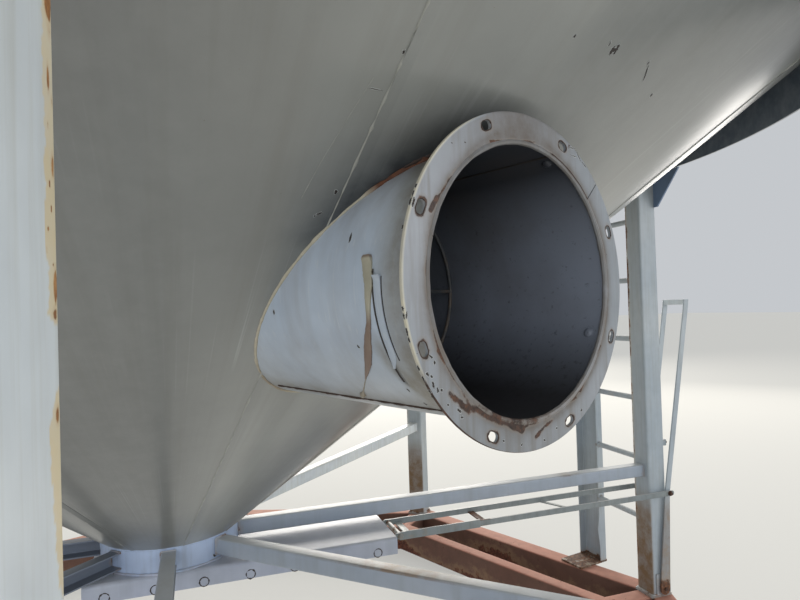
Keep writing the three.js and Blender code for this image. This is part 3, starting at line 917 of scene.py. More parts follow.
def make_finishes() -> dict[str, bpy.types.Material]:
    """Makes every material of the silo."""
    kinds = {
        # The hopper's stain colour is the dark blue-grey of the painted shade that the cone's tone mark
        # lays on.
        "hopper": Paint("hopper_enamel", "#91938e", "#989a95", dirt="#7f7e75", runs=Runs.CONE,
            run_width_mm=34.0, mottle=0.012, scratches=0.2, chips=0.045, chip_mm=9.0,
            stain="#262b30", even=0.85, roughness=0.3, sheen_coat=0.35, ripple=0.12),
        # Its bluish stain is the painted shade on the skirt's inner face below the cone's joint.
        "wall": Paint("wall_enamel", "#abb1b2", "#b7bcbb", dirt="#98968a", dirt_share=0.35,
            run_width_mm=120.0, scratches=0.3, ripple=0.3, stain="#4d5a68", even=0.8),
        "roof": Paint("roof_enamel", "#abb1b2", "#babebc", dirt="#98968a", runs=Runs.CONE, dust_and_painted_light=0.3,
            ripple=0.25),
        "frame": Paint("frame_enamel", "#a2adb4", "#b1b9bc", dirt="#8d9088", dirt_share=0.35,
            run_width_mm=14.0, mottle=0.04, chips=0.03, stain="#73593a", even=0.6),
        # Its pale top layer is dirt and painted light; its bluish side layer is painted shade.
        "spoke": Paint("spoke_enamel", "#a2adb8", "#b1b9c2", dirt="#8d9088", run_width_mm=40.0,
            mottle=0.04, chips=0.04, dust_and_painted_light=0.45, upper_face_colour="#c9c7bd", side_dirt_and_shade=0.22,
            side_dirt_and_shade_colour="#566272", stain="#73593a"),
        # Its bluish side layer is painted shade.
        "housing": Paint("housing_enamel", "#b4bbcb", "#c0c6d0", dirt="#8e9198", run_width_mm=60.0,
            mottle=0.04, chips=0.04, side_dirt_and_shade=0.22, side_dirt_and_shade_colour="#566272"),
        # A darker copy of the frame enamel: painted shade on the link, darker still on its sides, with a
        # pale layer that paints a highlight on its top faces.
        "link": Paint("painted_shade_link_enamel", "#929b9d", "#a2a9a8", dirt="#6e6f66", dirt_share=0.4,
            run_width_mm=20.0, mottle=0.08, chips=0.07, side_dirt_and_shade=0.38, side_dirt_and_shade_colour="#474e4c",
            dust_and_painted_light=0.5, upper_face_colour="#c9c7bd"),
        "collar": Paint("collar_enamel", "#b0c1da", "#a1b1c9", dirt="#858c96", dirt_share=0.45,
            run_width_mm=22.0),
        "duct": Paint("duct_enamel", "#b3c0cd", "#c4ced7", dirt="#98999a", dirt_share=0.4,
            run_width_mm=60.0, mottle=0.04, chips=0.02, chip_mm=11.0, scratches=0.25,
            stain="#77705f", even=0.7, roughness=0.36, sheen_coat=0.2, ripple=0.2),
        # Its pale colour is the painted highlight on the flange's left rim.
        "flange": Paint("flange_enamel", "#8a9094", "#989ca0", dirt="#6f675a", dirt_share=0.6,
            run_width_mm=20.0, mottle=0.06, chips=0.08, chip_mm=12.0, stain="#5b5145", even=0.6,
            pale="#d3ccb4", halo=0.5, halo_colour="#857869",
            rust=("#241c18", "#46342a", "#6b4833")),
        "strap": Paint("strap_enamel", "#a8a390", "#97937f", runs=Runs.NONE, mottle=0.12,
            chips=0.08, stain="#7c675a", even=0.8, pale="#b9b6a8"),
        # Its pale top layer is dirt and painted light; its dark side layer is dirt and painted shade.
        "primer": Paint("red_oxide_primer", "#b0705c", "#c28a76", dirt="#6f4236", runs=Runs.NONE,
            mottle=0.16, dust_and_painted_light=0.3, upper_face_colour="#d0a995", side_dirt_and_shade=0.8, roughness=0.8,
            sheen_coat=0.0, chips=0.11, rust=("#38231c", "#593428", "#7d4b39")),
        # Chips, and also the near-black strips that paint the shade in the duct's slot.
        "chip": Paint("bared_mill_scale_and_gap_shade", "#2c2927", "#3a3029", runs=Runs.NONE, mottle=0.2,
            roughness=0.7, sheen_coat=0.0),
        "halo": Paint("feathered_coat_edge", "#b4b7b4", "#a9acaa", runs=Runs.NONE),
        # A lighter copy of the frame enamel, painted light on spoke 2, the near leg and the handle; its
        # orange rust and cream undercoat are the near leg's real broken edge.
        "painted_light_worn": Paint("painted_light_worn_enamel", "#d3dbdf", "#dde3e3", dirt="#aaa791",
            run_width_mm=16.0, mottle=0.05, chips=0.03, stain="#8f7a5c", even=0.7, pale="#dccba2",
            halo_colour="#bd935c", rust=("#5f3d25", "#96632f", "#b98a55")),
        # A darker copy of the frame enamel: painted shade on the leg heads and gussets under the skirt.
        "under": Paint("shaded_skirt_enamel", "#6c82a0", "#7489a6", dirt="#5f6468", dust_and_painted_light=0.2),
        # A darker copy of the spoke enamel: painted shade on spokes 5 and 6, darker still on top.
        "painted_shade_slate": Paint("painted_shade_spoke_enamel", "#6f7988", "#78818d", dirt="#55585c", dust_and_painted_light=0.5,
            upper_face_colour="#5b5e63", side_dirt_and_shade=0.15, side_dirt_and_shade_colour="#4b5566"),
        # A darker copy of the duct enamel: painted shade on the guard inside the duct.
        "guard": Paint("painted_shade_guard_enamel", "#55585a", "#605f5b", runs=Runs.NONE),
        "rust": Paint("rusted_weld", "#4a382c", "#3a2d26", runs=Runs.NONE, mottle=0.25,
            roughness=0.75, sheen_coat=0.0),
        # Near black: painted shade on the cone's inner faces, inside the bin.
        "dust_and_painted_light": Paint("grain_bin_inside_painted_shade", "#272523", "#302d2a", runs=Runs.NONE, roughness=0.85,
            sheen_coat=0.0),
        "inside": ShadedDirtySheet(),
        "rusted": Steel("rusted_steel", "#4b4743", 0.85, 0.7),
        "sealant": Sealant(),
    }
    return {name: kind.build() for name, kind in kinds.items()}


# Sub-assemblies


def quarters(part: str) -> list[str]:
    """Names of the four solids that a round part is divided into."""
    return [f"{part}_quarter_{i}" for i in range(1, 5)]


@dataclass
class Shell:
    """Shapes that the hopper, legs and duct share: the cone and the round wall."""

    wall_radius: float = 2.286
    wall_sheet: float = 0.008
    skirt_bottom: float = 2.226
    eave: float = 6.030
    cone_slope: float = 37.66
    cone_sheet: float = 0.006
    cone_low_radius: float = 0.2462
    cone_low: float = 0.800

    def cone_height(self, radius: Array | float) -> Array | float:
        """Height of the cone's outer face: its low end plus the tangent of its slope times the run."""
        return self.cone_low + (radius - self.cone_low_radius) * math.tan(math.radians(self.cone_slope))

    @property
    def cone_radius(self) -> float:
        """Radius at which the cone meets the wall."""
        return self.wall_radius - self.wall_sheet - SEAT


def bead(path: Array, up: Array, radius: float | Array, seed: int, closed: bool = False,
         ripple: float = 0.12) -> Surface:
    """A weld bead: a circle carried along a path, its size rippled by a seeded random walk.

    Args:
        path: Points of the path.
        up: Direction square to the path, one vector or one for each point.
        radius: Mean radius, one number or one for each point.
        seed: Seed of the ripple.
        closed: Whether the path joins its own start.
        ripple: Share of the radius that the ripple takes.

    Returns:
        The bead.
    """
    change = np.random.default_rng(seed).normal(0.0, ripple, len(path))
    smooth = np.convolve(np.pad(change, 1, mode="wrap"), [0.25, 0.5, 0.25], mode="valid")
    ups = unit(np.broadcast_to(np.asarray(up, float), path.shape))
    ahead = np.gradient(path, axis=0)
    if closed:
        ahead = np.roll(path, -1, 0) - np.roll(path, 1, 0)
    side = unit(np.cross(unit(ahead), ups))
    return sweep(circle(1.0, 8), path, ups, closed, radius * (1 + smooth), side)


def flake(skin: Skin, centre: Array, out: Array, along: Array, length: float, width: float,
          seed: int) -> None:
    """Adds a chip in the coat: an uneven dark patch inside a paler feathered rim.

    Its outline is an ellipse whose reach is changed at each corner by a seeded share.

    Args:
        skin: The skin to add to; its finishes are the rim's and the patch's.
        centre: Middle of the chip.
        out: Direction away from the face.
        along: The chip's long direction.
        length: Length of the dark patch.
        width: Width of the dark patch.
        seed: Seed of its outline.
    """
    corners = 18
    angle = np.arange(corners) * 2 * math.pi / corners
    reach = np.clip(1 + np.random.default_rng(seed).normal(0.0, 0.3, corners), 0.45, 1.6)
    normal = unit(np.asarray(out, float))
    way = unit(along - normal * np.dot(along, normal))
    for finish, grow, depth in ((0, 0.0009, 0.0006), (1, 0.0, 0.0012)):
        outline = np.column_stack([(length / 2 + grow) * np.cos(angle) * reach,
                                   (width / 2 + grow) * np.sin(angle) * reach])
        skin.add(prism(outline, centre, way, np.cross(normal, way), depth), finish)


def hex_bolt(skin: Skin, centre: Sequence[float], out: Sequence[float], across: float,
             finish: int = 0) -> None:
    """Adds a hexagon head on a washer.

    Args:
        skin: The skin to add to.
        centre: Where the bolt's axis meets the face that it holds.
        out: Direction away from that face.
        across: Width across the head's corners.
        finish: Number of its finish.
    """
    axis = unit(np.asarray(out, float))
    up = upright(axis)
    start = np.asarray(centre, float)
    for outline, heights, sizes in (
        (circle(across * 0.68, 14), (-0.05, 0.13, 0.16), (1.0, 1.0, 0.94)),
        (circle(across * 0.5, 6), (0.1, 0.5, 0.6), (1.0, 1.0, 0.84)),
    ):
        path = start + np.array(heights)[:, None] * across * axis
        side = np.broadcast_to(np.cross(axis, up), path.shape)
        skin.add(sweep(outline, path, up, size=np.array(sizes), side=side), finish, rust=0.4)


@dataclass
class HopperCone:
    """The cone of welded gores that the grain slides down."""

    shell: Shell
    gores: int = 9
    first_seam: float = -76.5
    seam_radius: float = 0.0024
    strip_width: float = 0.020
    strip_height: float = 0.0022
    duct_hole: float = 0.2375
    hole_span: tuple[float, float] = (0.9, 1.75)
    chips: tuple[tuple[float, float, float, float, float], ...] = (
        (-64.57, 1.824, 0.019, 0.0065, 20.0), (-64.32, 1.829, 0.019, 0.0080, 31.0),
        (-65.15, 1.829, 0.007, 0.0022, 26.0), (-64.47, 1.826, 0.013, 0.0060, 117.0),
        (-60.05, 1.824, 0.032, 0.0034, 49.0), (-60.72, 1.836, 0.006, 0.0036, 10.0),
        (-57.26, 1.806, 0.007, 0.0050, 40.0), (-67.95, 1.819, 0.005, 0.0040, 30.0),
        (-77.35, 1.535, 0.008, 0.0060, 10.0), (-77.85, 1.495, 0.009, 0.0045, -59.0),
        (-78.12, 1.490, 0.004, 0.0030, 0.0), (-76.48, 1.767, 0.008, 0.0030, -28.0),
        (-76.95, 1.741, 0.005, 0.0035, 0.0), (-76.63, 1.742, 0.007, 0.0026, -38.0),
        (-77.60, 1.691, 0.022, 0.0010, 88.0), (-110.0, 1.10, 0.007, 0.0040, 30.0),
    )
    crease: tuple[tuple[float, float], ...] = ((-77.9, 1.705), (-79.0, 1.580), (-79.42, 1.520))

    def point(self, azimuth: Array, radius: Array, lift: Array | float = 0.0) -> Array:
        """Points on the cone: r cos a, r sin a, the cone's height at r, moved out by a lift."""
        slope = math.radians(self.shell.cone_slope)
        reach = radius + lift * math.sin(slope)
        height = self.shell.cone_height(radius) - lift * math.cos(slope)
        angle = np.radians(azimuth)
        return np.stack(np.broadcast_arrays(reach * np.cos(angle), reach * np.sin(angle), height), -1)

    def sag(self, azimuth: Array | float, run: Array | float) -> Array | float:
        """How far the outer face lies out of the true cone.

        It sinks by up to 2 mm between the seams and has a ripple of 0.5 mm.

        Args:
            azimuth: Where round the cone.
            run: Distance from the silo's axis.

        Returns:
            The distance, positive outwards.
        """
        low, high = self.shell.cone_low_radius, self.shell.cone_radius
        share = (run - low) / (high - low)
        between = 0.5 - 0.5 * np.cos(np.radians(self.gores * (azimuth - self.first_seam)))
        sag = -0.002 * between * np.sin(math.pi * share)
        sag = sag + 0.0005 * np.sin(np.radians(23 * azimuth)) * np.sin(3 * math.pi * share)
        return sag * ramp(run, 0.3, 0.2) * ramp(run, 2.2, -0.1)

    def sheet(self) -> Surface:
        """The cone's closed sheet, its inner face a sheet's thickness above the outer one."""
        azimuth = np.arange(360)[:, None] * 1.0
        run = np.linspace(self.shell.cone_low_radius, self.shell.cone_radius, 60)[None, :]
        outer = self.point(azimuth, run, self.sag(azimuth, run))
        inner = self.point(azimuth, run[:, ::-1], -self.shell.cone_sheet)
        inner[:, -1, 2] = self.shell.cone_low
        return lofted(np.concatenate([outer, inner], axis=1), closed=True)

    def seam(self, azimuth: float, seed: int) -> list[Surface]:
        """A lapped gore's edge down the slope.

        Args:
            azimuth: Where it is.
            seed: Seed of the weld's ripple.

        Returns:
            A low flat strip, and the weld at its left edge.
        """
        run = np.linspace(self.shell.cone_low_radius + 0.004, self.shell.cone_radius - 0.004, 320)
        turn_by = np.full_like(run, azimuth)
        path = self.point(turn_by, run)
        out = self.point(turn_by, run, 1.0) - path
        half, across = self.strip_width / 2, spin(ALONG_Y, azimuth)
        outline = np.array([(half, -0.002), (half, 0.0002), (-half, self.strip_height), (-half, -0.002)])
        strip = sweep(outline, path, out, side=across)
        return [strip, bead(path - across * half, out, self.seam_radius * 0.7, seed, ripple=0.7)]

    def painted_cone_shade(self, points: Array) -> Array:
        """Painted shade that darkens the cone: above the duct, gone 0.3 m from it, and over both sides.

        Args:
            points: Points of the cone.

        Returns:
            The tone mark of each.
        """
        # All of it is painted shade: above and close to the duct, and over both sides of the cone.
        duct = spin(points - np.array([0.0, 0.0, AerationDuct.height]), -AerationDuct.azimuth)
        away = np.hypot(duct[:, 1], duct[:, 2]) - AerationDuct.radius
        upper = np.clip(0.35 + duct[:, 2] / 0.25, 0, 1) * (duct[:, 0] > 0)
        azimuth = np.degrees(np.arctan2(points[:, 1], points[:, 0]))
        shade_film = np.interp(azimuth, [-180, -130, -90, -84, -79, -68, -63, -55, -47, -40],
                         [0.2, 0.38, 0.36, 0.18, 0.0, 0.0, 0.17, 0.30, 0.28, 0.2])
        run = np.hypot(points[:, 0], points[:, 1])
        shade_film = shade_film + np.where(azimuth > -68, 0.26 * ramp(run, 1.7, 0.3), 0)
        shade_film = shade_film + np.where(azimuth < -76, 0.12 * ramp(run, 1.3, -0.4), 0)
        close = 0.5 * bell(np.clip(away, 0, None), 0, 0.045) * (duct[:, 0] > 1.4)
        dark = 0.58 * fade(away, 0, 0.085) + close
        return np.clip(dark * upper + shade_film, 0, 0.97)

    def dress(self, maker: Maker, duct: "AerationDuct") -> None:
        """Makes the cone, its seams and the chips in its coat."""
        hole = duct.plug(self.duct_hole, *self.hole_span)
        sheet = self.sheet()
        columns = sheet.points.shape[1]
        inner = np.arange(len(sheet.quads)) % columns >= columns // 2
        # The cone's tone mark is its painted shade.
        maker.make("hopper_cone", Skin().add(sheet, inner.astype(int), tone=self.painted_cone_shade),
                   # The inner faces take the near-black finish that paints the shade inside the bin.
                   ["hopper", "dust_and_painted_light"], stands_for=quarters("hopper"),
                   cutters=[hole], crease=30)
        seams = Skin()
        for i, azimuth in enumerate(all_round(self.gores, self.first_seam)):
            strip, weld = self.seam(azimuth, i)
            # The seam strips carry the same painted shade.
            seams.add(strip, tone=lambda p: 0.04 + self.painted_cone_shade(p)).add(weld, rust=0.06, tone=-0.16)
        places = np.array(self.crease)
        run = np.linspace(places[0, 1], places[-1, 1], 60)
        turn_by = np.interp(-run, -places[:, 1], places[:, 0])
        path = self.point(turn_by, run, self.sag(turn_by, run))
        seams.add(bead(path, self.point(turn_by, run, 1.0) - path, 0.0007, 77, ripple=0.5), tone=-0.06)
        maker.make("hopper_seams", seams, ["hopper"], crease=30)
        chips = Skin()
        for i, (azimuth, radius, length, width, lean) in enumerate(self.chips):
            spot, out, down = (self.point(azimuth, radius + a, b) for a, b in ((0, 0), (0, 1), (-1, 0)))
            tilt = math.radians(lean)
            along = math.cos(tilt) * unit(down - spot) + math.sin(tilt) * spin(ALONG_Y, azimuth)
            spot = spot + (out - spot) * self.sag(azimuth, radius)
            flake(chips, spot, out - spot, along, length, width, 300 + i)
        maker.make("hopper_chips", chips, ["halo", "chip"])


@dataclass
class AerationDuct:
    """The round duct that a fan blows through, with its flange and the guard inside it."""

    azimuth: float = -68.6
    height: float = 1.634
    bore: float = 0.231
    radius: float = 0.237
    face: float = 1.732
    inner_end: float = 0.960
    flange_radius: float = 0.277
    flange_sheet: float = 0.006
    bolt_circle: float = 0.260
    holes: int = 8
    hole_width: float = 0.016
    hole_length: float = 0.024
    first_hole: float = 21.6
    slot_place: float = 1.6145
    slot_width: float = 0.005
    slot_from: float = 173.0
    slot_to: float = 222.0
    guard_place: float = 1.318
    guard_rod: float = 0.004
    lap_angle: float = 71.5
    lap_span: tuple[float, float] = (1.30, 1.7285)
    studs: tuple[tuple[float, float], ...] = ((1.706, 66.4), (1.702, 335.9))
    seam_angle: float = 241.0
    seam_start: float = 1.085
    strap_stops: tuple[float, ...] = (
        168.5, 170.5, 180.0, 190.0, 194.0, 200.0, 207.0, 213.0, 218.0, 221.0)
    strap_places: tuple[float, ...] = (
        1.6000, 1.6005, 1.6060, 1.5985, 1.5945, 1.5810, 1.5650, 1.5480, 1.5270, 1.5130)
    strap_halves: tuple[float, ...] = (
        0.0085, 0.0118, 0.0095, 0.0048, 0.0048, 0.0080, 0.0100, 0.0088, 0.0046, 0.0010)
    lip_span: tuple[float, float] = (176.5, 214.0)
    lip_place: float = 1.6268
    joint_gap: tuple[float, float] = (40.9, 41.7)
    rim_chips: tuple[float, ...] = (
        151.5, 154.0, 156.6, 188.0, 190.0, 194.5, 197.0, 206.0, 209.5, 214.0)
    tube_chips: tuple[tuple[float, float, float, float], ...] = (
        (1.540, 160.0, 0.014, 0.0042), (1.543, 204.6, 0.005, 0.0045), (1.673, 159.3, 0.006, 0.004),
        (1.293, 189.2, 0.009, 0.005), (1.612, 236.0, 0.009, 0.004), (1.607, 226.0, 0.007, 0.003),
        (1.655, 229.5, 0.010, 0.0035), (1.668, 233.0, 0.008, 0.003), (1.682, 236.5, 0.006, 0.003),
    )
    patches: tuple[tuple[float, float, float, float, float, float], ...] = (
        (220.0, 0.2520, 231.0, 0.2460, 0.010, 0.60), (229.0, 0.2440, 262.0, 0.2385, 0.012, 0.58),
        (262.0, 0.2380, 300.0, 0.2350, 0.006, 0.56), (270.3, 0.2555, 275.0, 0.2440, 0.0075, 0.62),
        (275.0, 0.2440, 281.0, 0.2390, 0.0065, 0.58), (155.5, 0.2410, 150.0, 0.2380, 0.0065, 0.62),
        (150.0, 0.2360, 136.0, 0.2345, 0.0040, 0.52), (84.0, 0.2350, 112.0, 0.2350, 0.005, 0.54),
        (205.0, 0.2350, 229.0, 0.2380, 0.0070, 0.56), (304.0, 0.2350, 330.0, 0.2345, 0.0045, 0.54),
    )
    face_chips: tuple[tuple[float, float, float, float], ...] = (
        (213.0, 0.2686, 0.010, 0.004), (209.0, 0.2693, 0.006, 0.004), (210.5, 0.2650, 0.005, 0.003),
        (215.5, 0.2665, 0.007, 0.004), (216.5, 0.2610, 0.005, 0.003), (205.0, 0.2520, 0.009, 0.003),
        (207.5, 0.2495, 0.005, 0.003), (227.0, 0.2580, 0.009, 0.004), (229.5, 0.2620, 0.005, 0.003),
        (190.0, 0.2750, 0.008, 0.003), (156.6, 0.2740, 0.012, 0.004), (61.1, 0.2742, 0.020, 0.0014),
        (56.3, 0.2735, 0.018, 0.0014), (51.8, 0.2725, 0.014, 0.0014), (59.0, 0.2640, 0.016, 0.0012),
        (275.0, 0.2650, 0.004, 0.003), (283.0, 0.2560, 0.004, 0.0025), (262.0, 0.2640, 0.004, 0.003),
        (252.0, 0.2610, 0.005, 0.003), (300.0, 0.2640, 0.005, 0.003), (222.0, 0.2660, 0.004, 0.003),
    )

    def at(self, along: Array | float, angle: Array | float, radius: Array | float) -> Array:
        """Points round the duct's axis.

        Args:
            along: Distance from the silo's axis.
            angle: Degrees from the level side that lies anticlockwise, towards the top.
            radius: Distance from the duct's axis.

        Returns:
            The points.
        """
        turned_angle = np.radians(angle)
        x, y, z = np.broadcast_arrays(
            along, radius * np.cos(turned_angle), self.height + radius * np.sin(turned_angle))
        return spin(np.stack([x, y, z], -1), self.azimuth)

    def out(self, angle: Array | float) -> Array:
        """Directions away from the duct's axis."""
        return self.at(0.0, angle, 1.0) - self.at(0.0, angle, 0.0)

    def plug(self, radius: float, start: float, end: float) -> Surface:
        """A round bar along the duct's axis."""
        return rod(self.at(start, 0.0, 0.0), self.at(end, 0.0, 0.0), radius, 96)

    def tube(self) -> Surface:
        """The tube's outer sheet, without the quads that the slot takes away."""
        half, end = self.slot_width / 2, self.face - self.flange_sheet - SEAT
        before, after, count = 60, 16, 180
        places = np.concatenate([
            np.linspace(self.inner_end, self.slot_place - half, before),
            np.linspace(self.slot_place + half, end, after),
        ])
        angles = np.arange(count) * (360 / count)
        points = self.at(places[:, None], angles[None, :], self.radius)
        quads = grid_quads(len(places), count, False, True)
        row, col = np.divmod(quads[:, 0], count)
        in_slot = (row == before - 1) & (angles[col] >= self.slot_from) & (angles[col] < self.slot_to)
        return Surface(points, quads[~in_slot], [])

    def band(self, middle: Array, half: Array, angle: Array, low: float, high: Array | float) -> Surface:
        """A strip that lies round the tube.

        Args:
            middle: Place of its middle line along the duct, for each angle.
            half: Half its width, for each angle.
            angle: Angles of its rows.
            low: Radius of its under side.
            high: Radius of its upper side.

        Returns:
            The closed strip.
        """
        high = np.broadcast_to(high, angle.shape)
        low = np.minimum(low, high - 0.001)
        return lofted(np.stack([
            self.at(middle - half, angle, low), self.at(middle + half, angle, low),
            self.at(middle + half, angle, high - 0.0006), self.at(middle + half * 0.8, angle, high),
            self.at(middle - half * 0.8, angle, high), self.at(middle - half, angle, high - 0.0006),
        ], axis=1))

    def cone_joint(self, shell: Shell, angle: Array, radius: float) -> Array:
        """Where a circle round the duct meets the cone.

        The cone's radius at the point's height is the hypotenuse of the place along the duct and
        the point's sideways distance.

        Args:
            shell: The cone.
            angle: Angles round the duct.
            radius: The circle's radius.

        Returns:
            The points.
        """
        side = radius * np.cos(np.radians(angle))
        height = self.height + radius * np.sin(np.radians(angle))
        reach = shell.cone_low_radius + (height - shell.cone_low) / math.tan(
            math.radians(shell.cone_slope))
        return self.at(np.sqrt(reach**2 - side**2), angle, radius)

    def dress(self, maker: Maker, shell: Shell) -> None:
        """Makes the tube, strap, guide, joint bead, flange and guard."""
        self.make_tube(maker)
        self.make_strap(maker)
        self.make_joint(maker, shell)
        self.make_flange(maker)
        self.make_guard(maker)

    def place_of(self, points: Array) -> tuple[Array, Array, Array]:
        """The reverse of at.

        Args:
            points: Points.

        Returns:
            Each one's place along the duct, its angle and its radius.
        """
        duct = spin(points - np.array([0.0, 0.0, self.height]), -self.azimuth)
        angle = np.degrees(np.arctan2(duct[:, 2], duct[:, 1])) % 360
        return duct[:, 0], angle, np.hypot(duct[:, 1], duct[:, 2])

    def soil(self, points: Array) -> Array:
        """Dirt on the tube: near the flange, along the top and the seam below, and by the slot.

        Args:
            points: Points of the tube.

        Returns:
            The tone mark of each.
        """
        along, angle, _ = self.place_of(points)
        near = 0.75 * ramp(along, 1.60, 0.06)
        top = 0.85 * bell(angle, 112, 24) * np.clip((along - 1.42) / 0.2, 0.25, 1)
        seam = 0.5 * bell(angle, 240, 9)
        trail = 1.612 + 0.09 * ramp(angle, 205, 38) ** 1.4
        by_slot = 0.75 * bell(along - trail + 0.012, 0, 0.016) * ramp(angle, 196, 10)
        low = 0.25 * ramp(angle, 195, 30)
        return np.clip(near + top + seam + low + by_slot * (angle < 246), 0, 0.92)

    def make_tube(self, maker: Maker) -> None:
        """The tube with its slot, the lapped edge and two studs inside it, and the seam under it."""
        maker.make("duct_tube", Skin().add(self.tube(), rust=0.05, tone=self.soil),
                   ["duct", "inside"], stands_for=["duct_tube"],
                   wall=self.radius - self.bore)
        lap = self.at(np.linspace(*self.lap_span, 40), self.lap_angle, self.bore - 0.0004)
        inside = Skin().add(bead(lap, self.out(self.lap_angle), 0.0019, 9), 1)
        dome = np.linspace(0, math.pi / 2, 6)
        profile = np.column_stack([0.010 * np.cos(dome) + 1e-5, 0.007 * np.sin(dome) - 0.001])
        ahead = spin(ALONG_X, self.azimuth)
        for along, angle in self.studs:
            stud = revolve(np.concatenate([profile, [(1e-5, -0.001)]]), 20)
            out = unit(self.out(angle))
            base = np.stack([ahead, np.cross(-out, ahead), -out])
            stud.points = stud.points @ base + self.at(along, angle, self.bore)
            inside.add(stud)
        maker.make("duct_lap", inside, ["inside", "chip"], crease=50)
        places = np.linspace(self.seam_start, self.face - self.flange_sheet - 0.002, 120)
        seam = Skin().add(bead(self.at(places, self.seam_angle, self.radius),
                               self.out(self.seam_angle), 0.0026, 12, ripple=0.3))
        maker.make("duct_seam", seam, ["rust"])

    def make_strap(self, maker: Maker) -> None:
        """The strap with the drip of weld at its end, the lip that guides a slide, dark strips that
        paint the shade in the slot and in the gap along the lip, and chips.
        """
        stops, last, rows = self.strap_stops, self.strap_stops[-1], 72
        angle = np.linspace(stops[0], last, rows)
        ragged = 1 + 0.05 * np.random.default_rng(31).normal(size=rows)
        middle = np.interp(angle, stops, self.strap_places)
        half = np.interp(angle, stops, self.strap_halves) * ragged
        lift = self.radius + 0.0030 + 0.0035 * bell(angle, 169.5, 1.5)
        # darker past 189 degrees and near the top end
        darkened = np.maximum(ramp(angle, 189, 6), 0.8 * (angle < 169.8))
        strap = Skin().add(self.band(middle, half, angle, self.radius - 0.001, lift),
                           rust=0.2 * bell(angle, stops[0], 1.6)[:, None], tone=darkened[:, None])
        share = np.linspace(0, 1, 30)
        drip = self.at(self.strap_places[-1] - 0.083 * share, last + 17 * share, self.radius + 0.0005)
        thick = 0.0012 + 0.0058 * bell(share, 0.86, 0.12)
        strap.add(bead(drip, self.out(last + 17 * share), thick, 17, ripple=0.3), tone=0.35)
        maker.make("duct_strap", strap, ["strap"])
        angle = np.linspace(*self.lip_span, 60)
        share = (angle - angle[0]) / (angle[-1] - angle[0])
        middle = self.lip_place - 0.014 * ramp(share, 0.72, 0.28) ** 2
        half = 0.0084 * np.clip((1 - share) / 0.16, 0.15, 1) ** 0.5
        burr = bell(share, 0, 0.03)
        rise = self.radius + 0.0008 + 0.0014 * ramp(1 - share, 0, 0.4) ** 0.8 + 0.004 * burr
        lip = Skin().add(self.band(middle, half, angle, self.radius - 0.001, rise),
                         rust=0.2 * burr[:, None], tone=0.12)
        # Two near-black strips paint the shade: in the slot, and in the gap along the lip's right edge.
        for start, end, place, width, top in ((174.0, 221.0, self.slot_place, 0.0024, 0.0004),
                                              (177.0, 210.0, 1.6363, 0.0011, 0.0005)):
            gap = np.linspace(start, end, 40)
            line = self.band(place + 0 * gap, width + 0 * gap, gap, self.bore + 0.001, self.radius + top)
            lip.add(line, 1)
        maker.make("duct_guide_lip", lip, ["duct", "chip"])
        chips = Skin()
        ahead = spin(ALONG_X, self.azimuth)
        for i, (along, turn_by, length, width) in enumerate(self.tube_chips):
            out = unit(self.out(turn_by))
            flake(chips, self.at(along, turn_by, self.radius - 0.0002), out, np.cross(out, ahead),
                  length, width, 330 + i)
        maker.make("duct_chips", chips, ["halo", "chip"])

    def make_joint(self, maker: Maker, shell: Shell) -> None:
        """The bead round the tube where it enters the cone: sealant, with bare weld at the top."""
        angle = np.arange(0, 360, 1.0)
        path = self.cone_joint(shell, angle, self.radius + 0.001)
        bare = ramp(angle, 97, 5) * ramp(angle, 139, -6)
        below = 0.35 * ramp(angle, 216, 14) * ramp(angle, 262, -14)
        made = bead(path, self.out(angle), 0.0034 + 0.0032 * bare, 11, closed=True, ripple=0.3)
        skin = Skin().add(made, tone=np.maximum(bare, below)[:, None])
        for start, end, lift, size, seed in ((97, 128, 0.006, 0.0036, 12),
                                             (104, 135, 0.001, 0.0030, 13)):
            run = np.arange(start, end, 0.6)
            thick = size * np.sin(np.linspace(0.25, math.pi - 0.25, len(run)))
            skin.add(bead(self.cone_joint(shell, run, self.radius + lift), self.out(run), thick, seed,
                          ripple=0.6), 1)
        maker.make("duct_joint_bead", skin, ["sealant", "rust"])

    def wear(self, points: Array) -> Array:
        """Rust on the flange: its inner edge, the rims of its holes, some patches, and its lower outer
        rim, where the dark rust also paints shade.

        A patch is a bell curve of the distance to a line.

        Args:
            points: Points of the flange.

        Returns:
            The rust mark of each.
        """
        _, angle, radius = self.place_of(points)
        low = np.clip(-np.sin(np.radians(angle + 20)), 0, 1)
        left = np.clip(np.cos(np.radians(angle - 172)), 0, 1)
        inner = fade(radius, self.bore, 0.0035 + 0.0045 * low + 0.003 * left)
        rust = 0.62 * inner * (0.75 + 0.25 * np.sin(np.radians(angle * 11)))
        flat = np.column_stack([radius * np.cos(np.radians(angle)), radius * np.sin(np.radians(angle))])
        holes = [(turn_by - 1.2, self.bolt_circle, turn_by + 1.2, self.bolt_circle, 0.0140, 0.66)
                 for turn_by in all_round(self.holes, self.first_hole)]
        for first, start, last, end, size, strength in (*self.patches, *holes):
            ends = [r * np.array([math.cos(math.radians(a)), math.sin(math.radians(a))])
                    for a, r in ((first, start), (last, end))]
            step = ends[1] - ends[0]
            share = np.clip((flat - ends[0]) @ step / (step @ step), 0, 1)
            away = np.hypot(*(flat - ends[0] - share[:, None] * step).T)
            rust = np.maximum(rust, strength * bell(away, 0, size))
        # dark rust on the lower outer rim, which also paints its shade
        rim = ramp(radius - self.flange_radius + 0.0014, 0, 0.001)
        rim = rim * ramp(angle, 204, 8) * ramp(angle, 292, -20)
        return np.maximum(rust, 0.62 * rim)

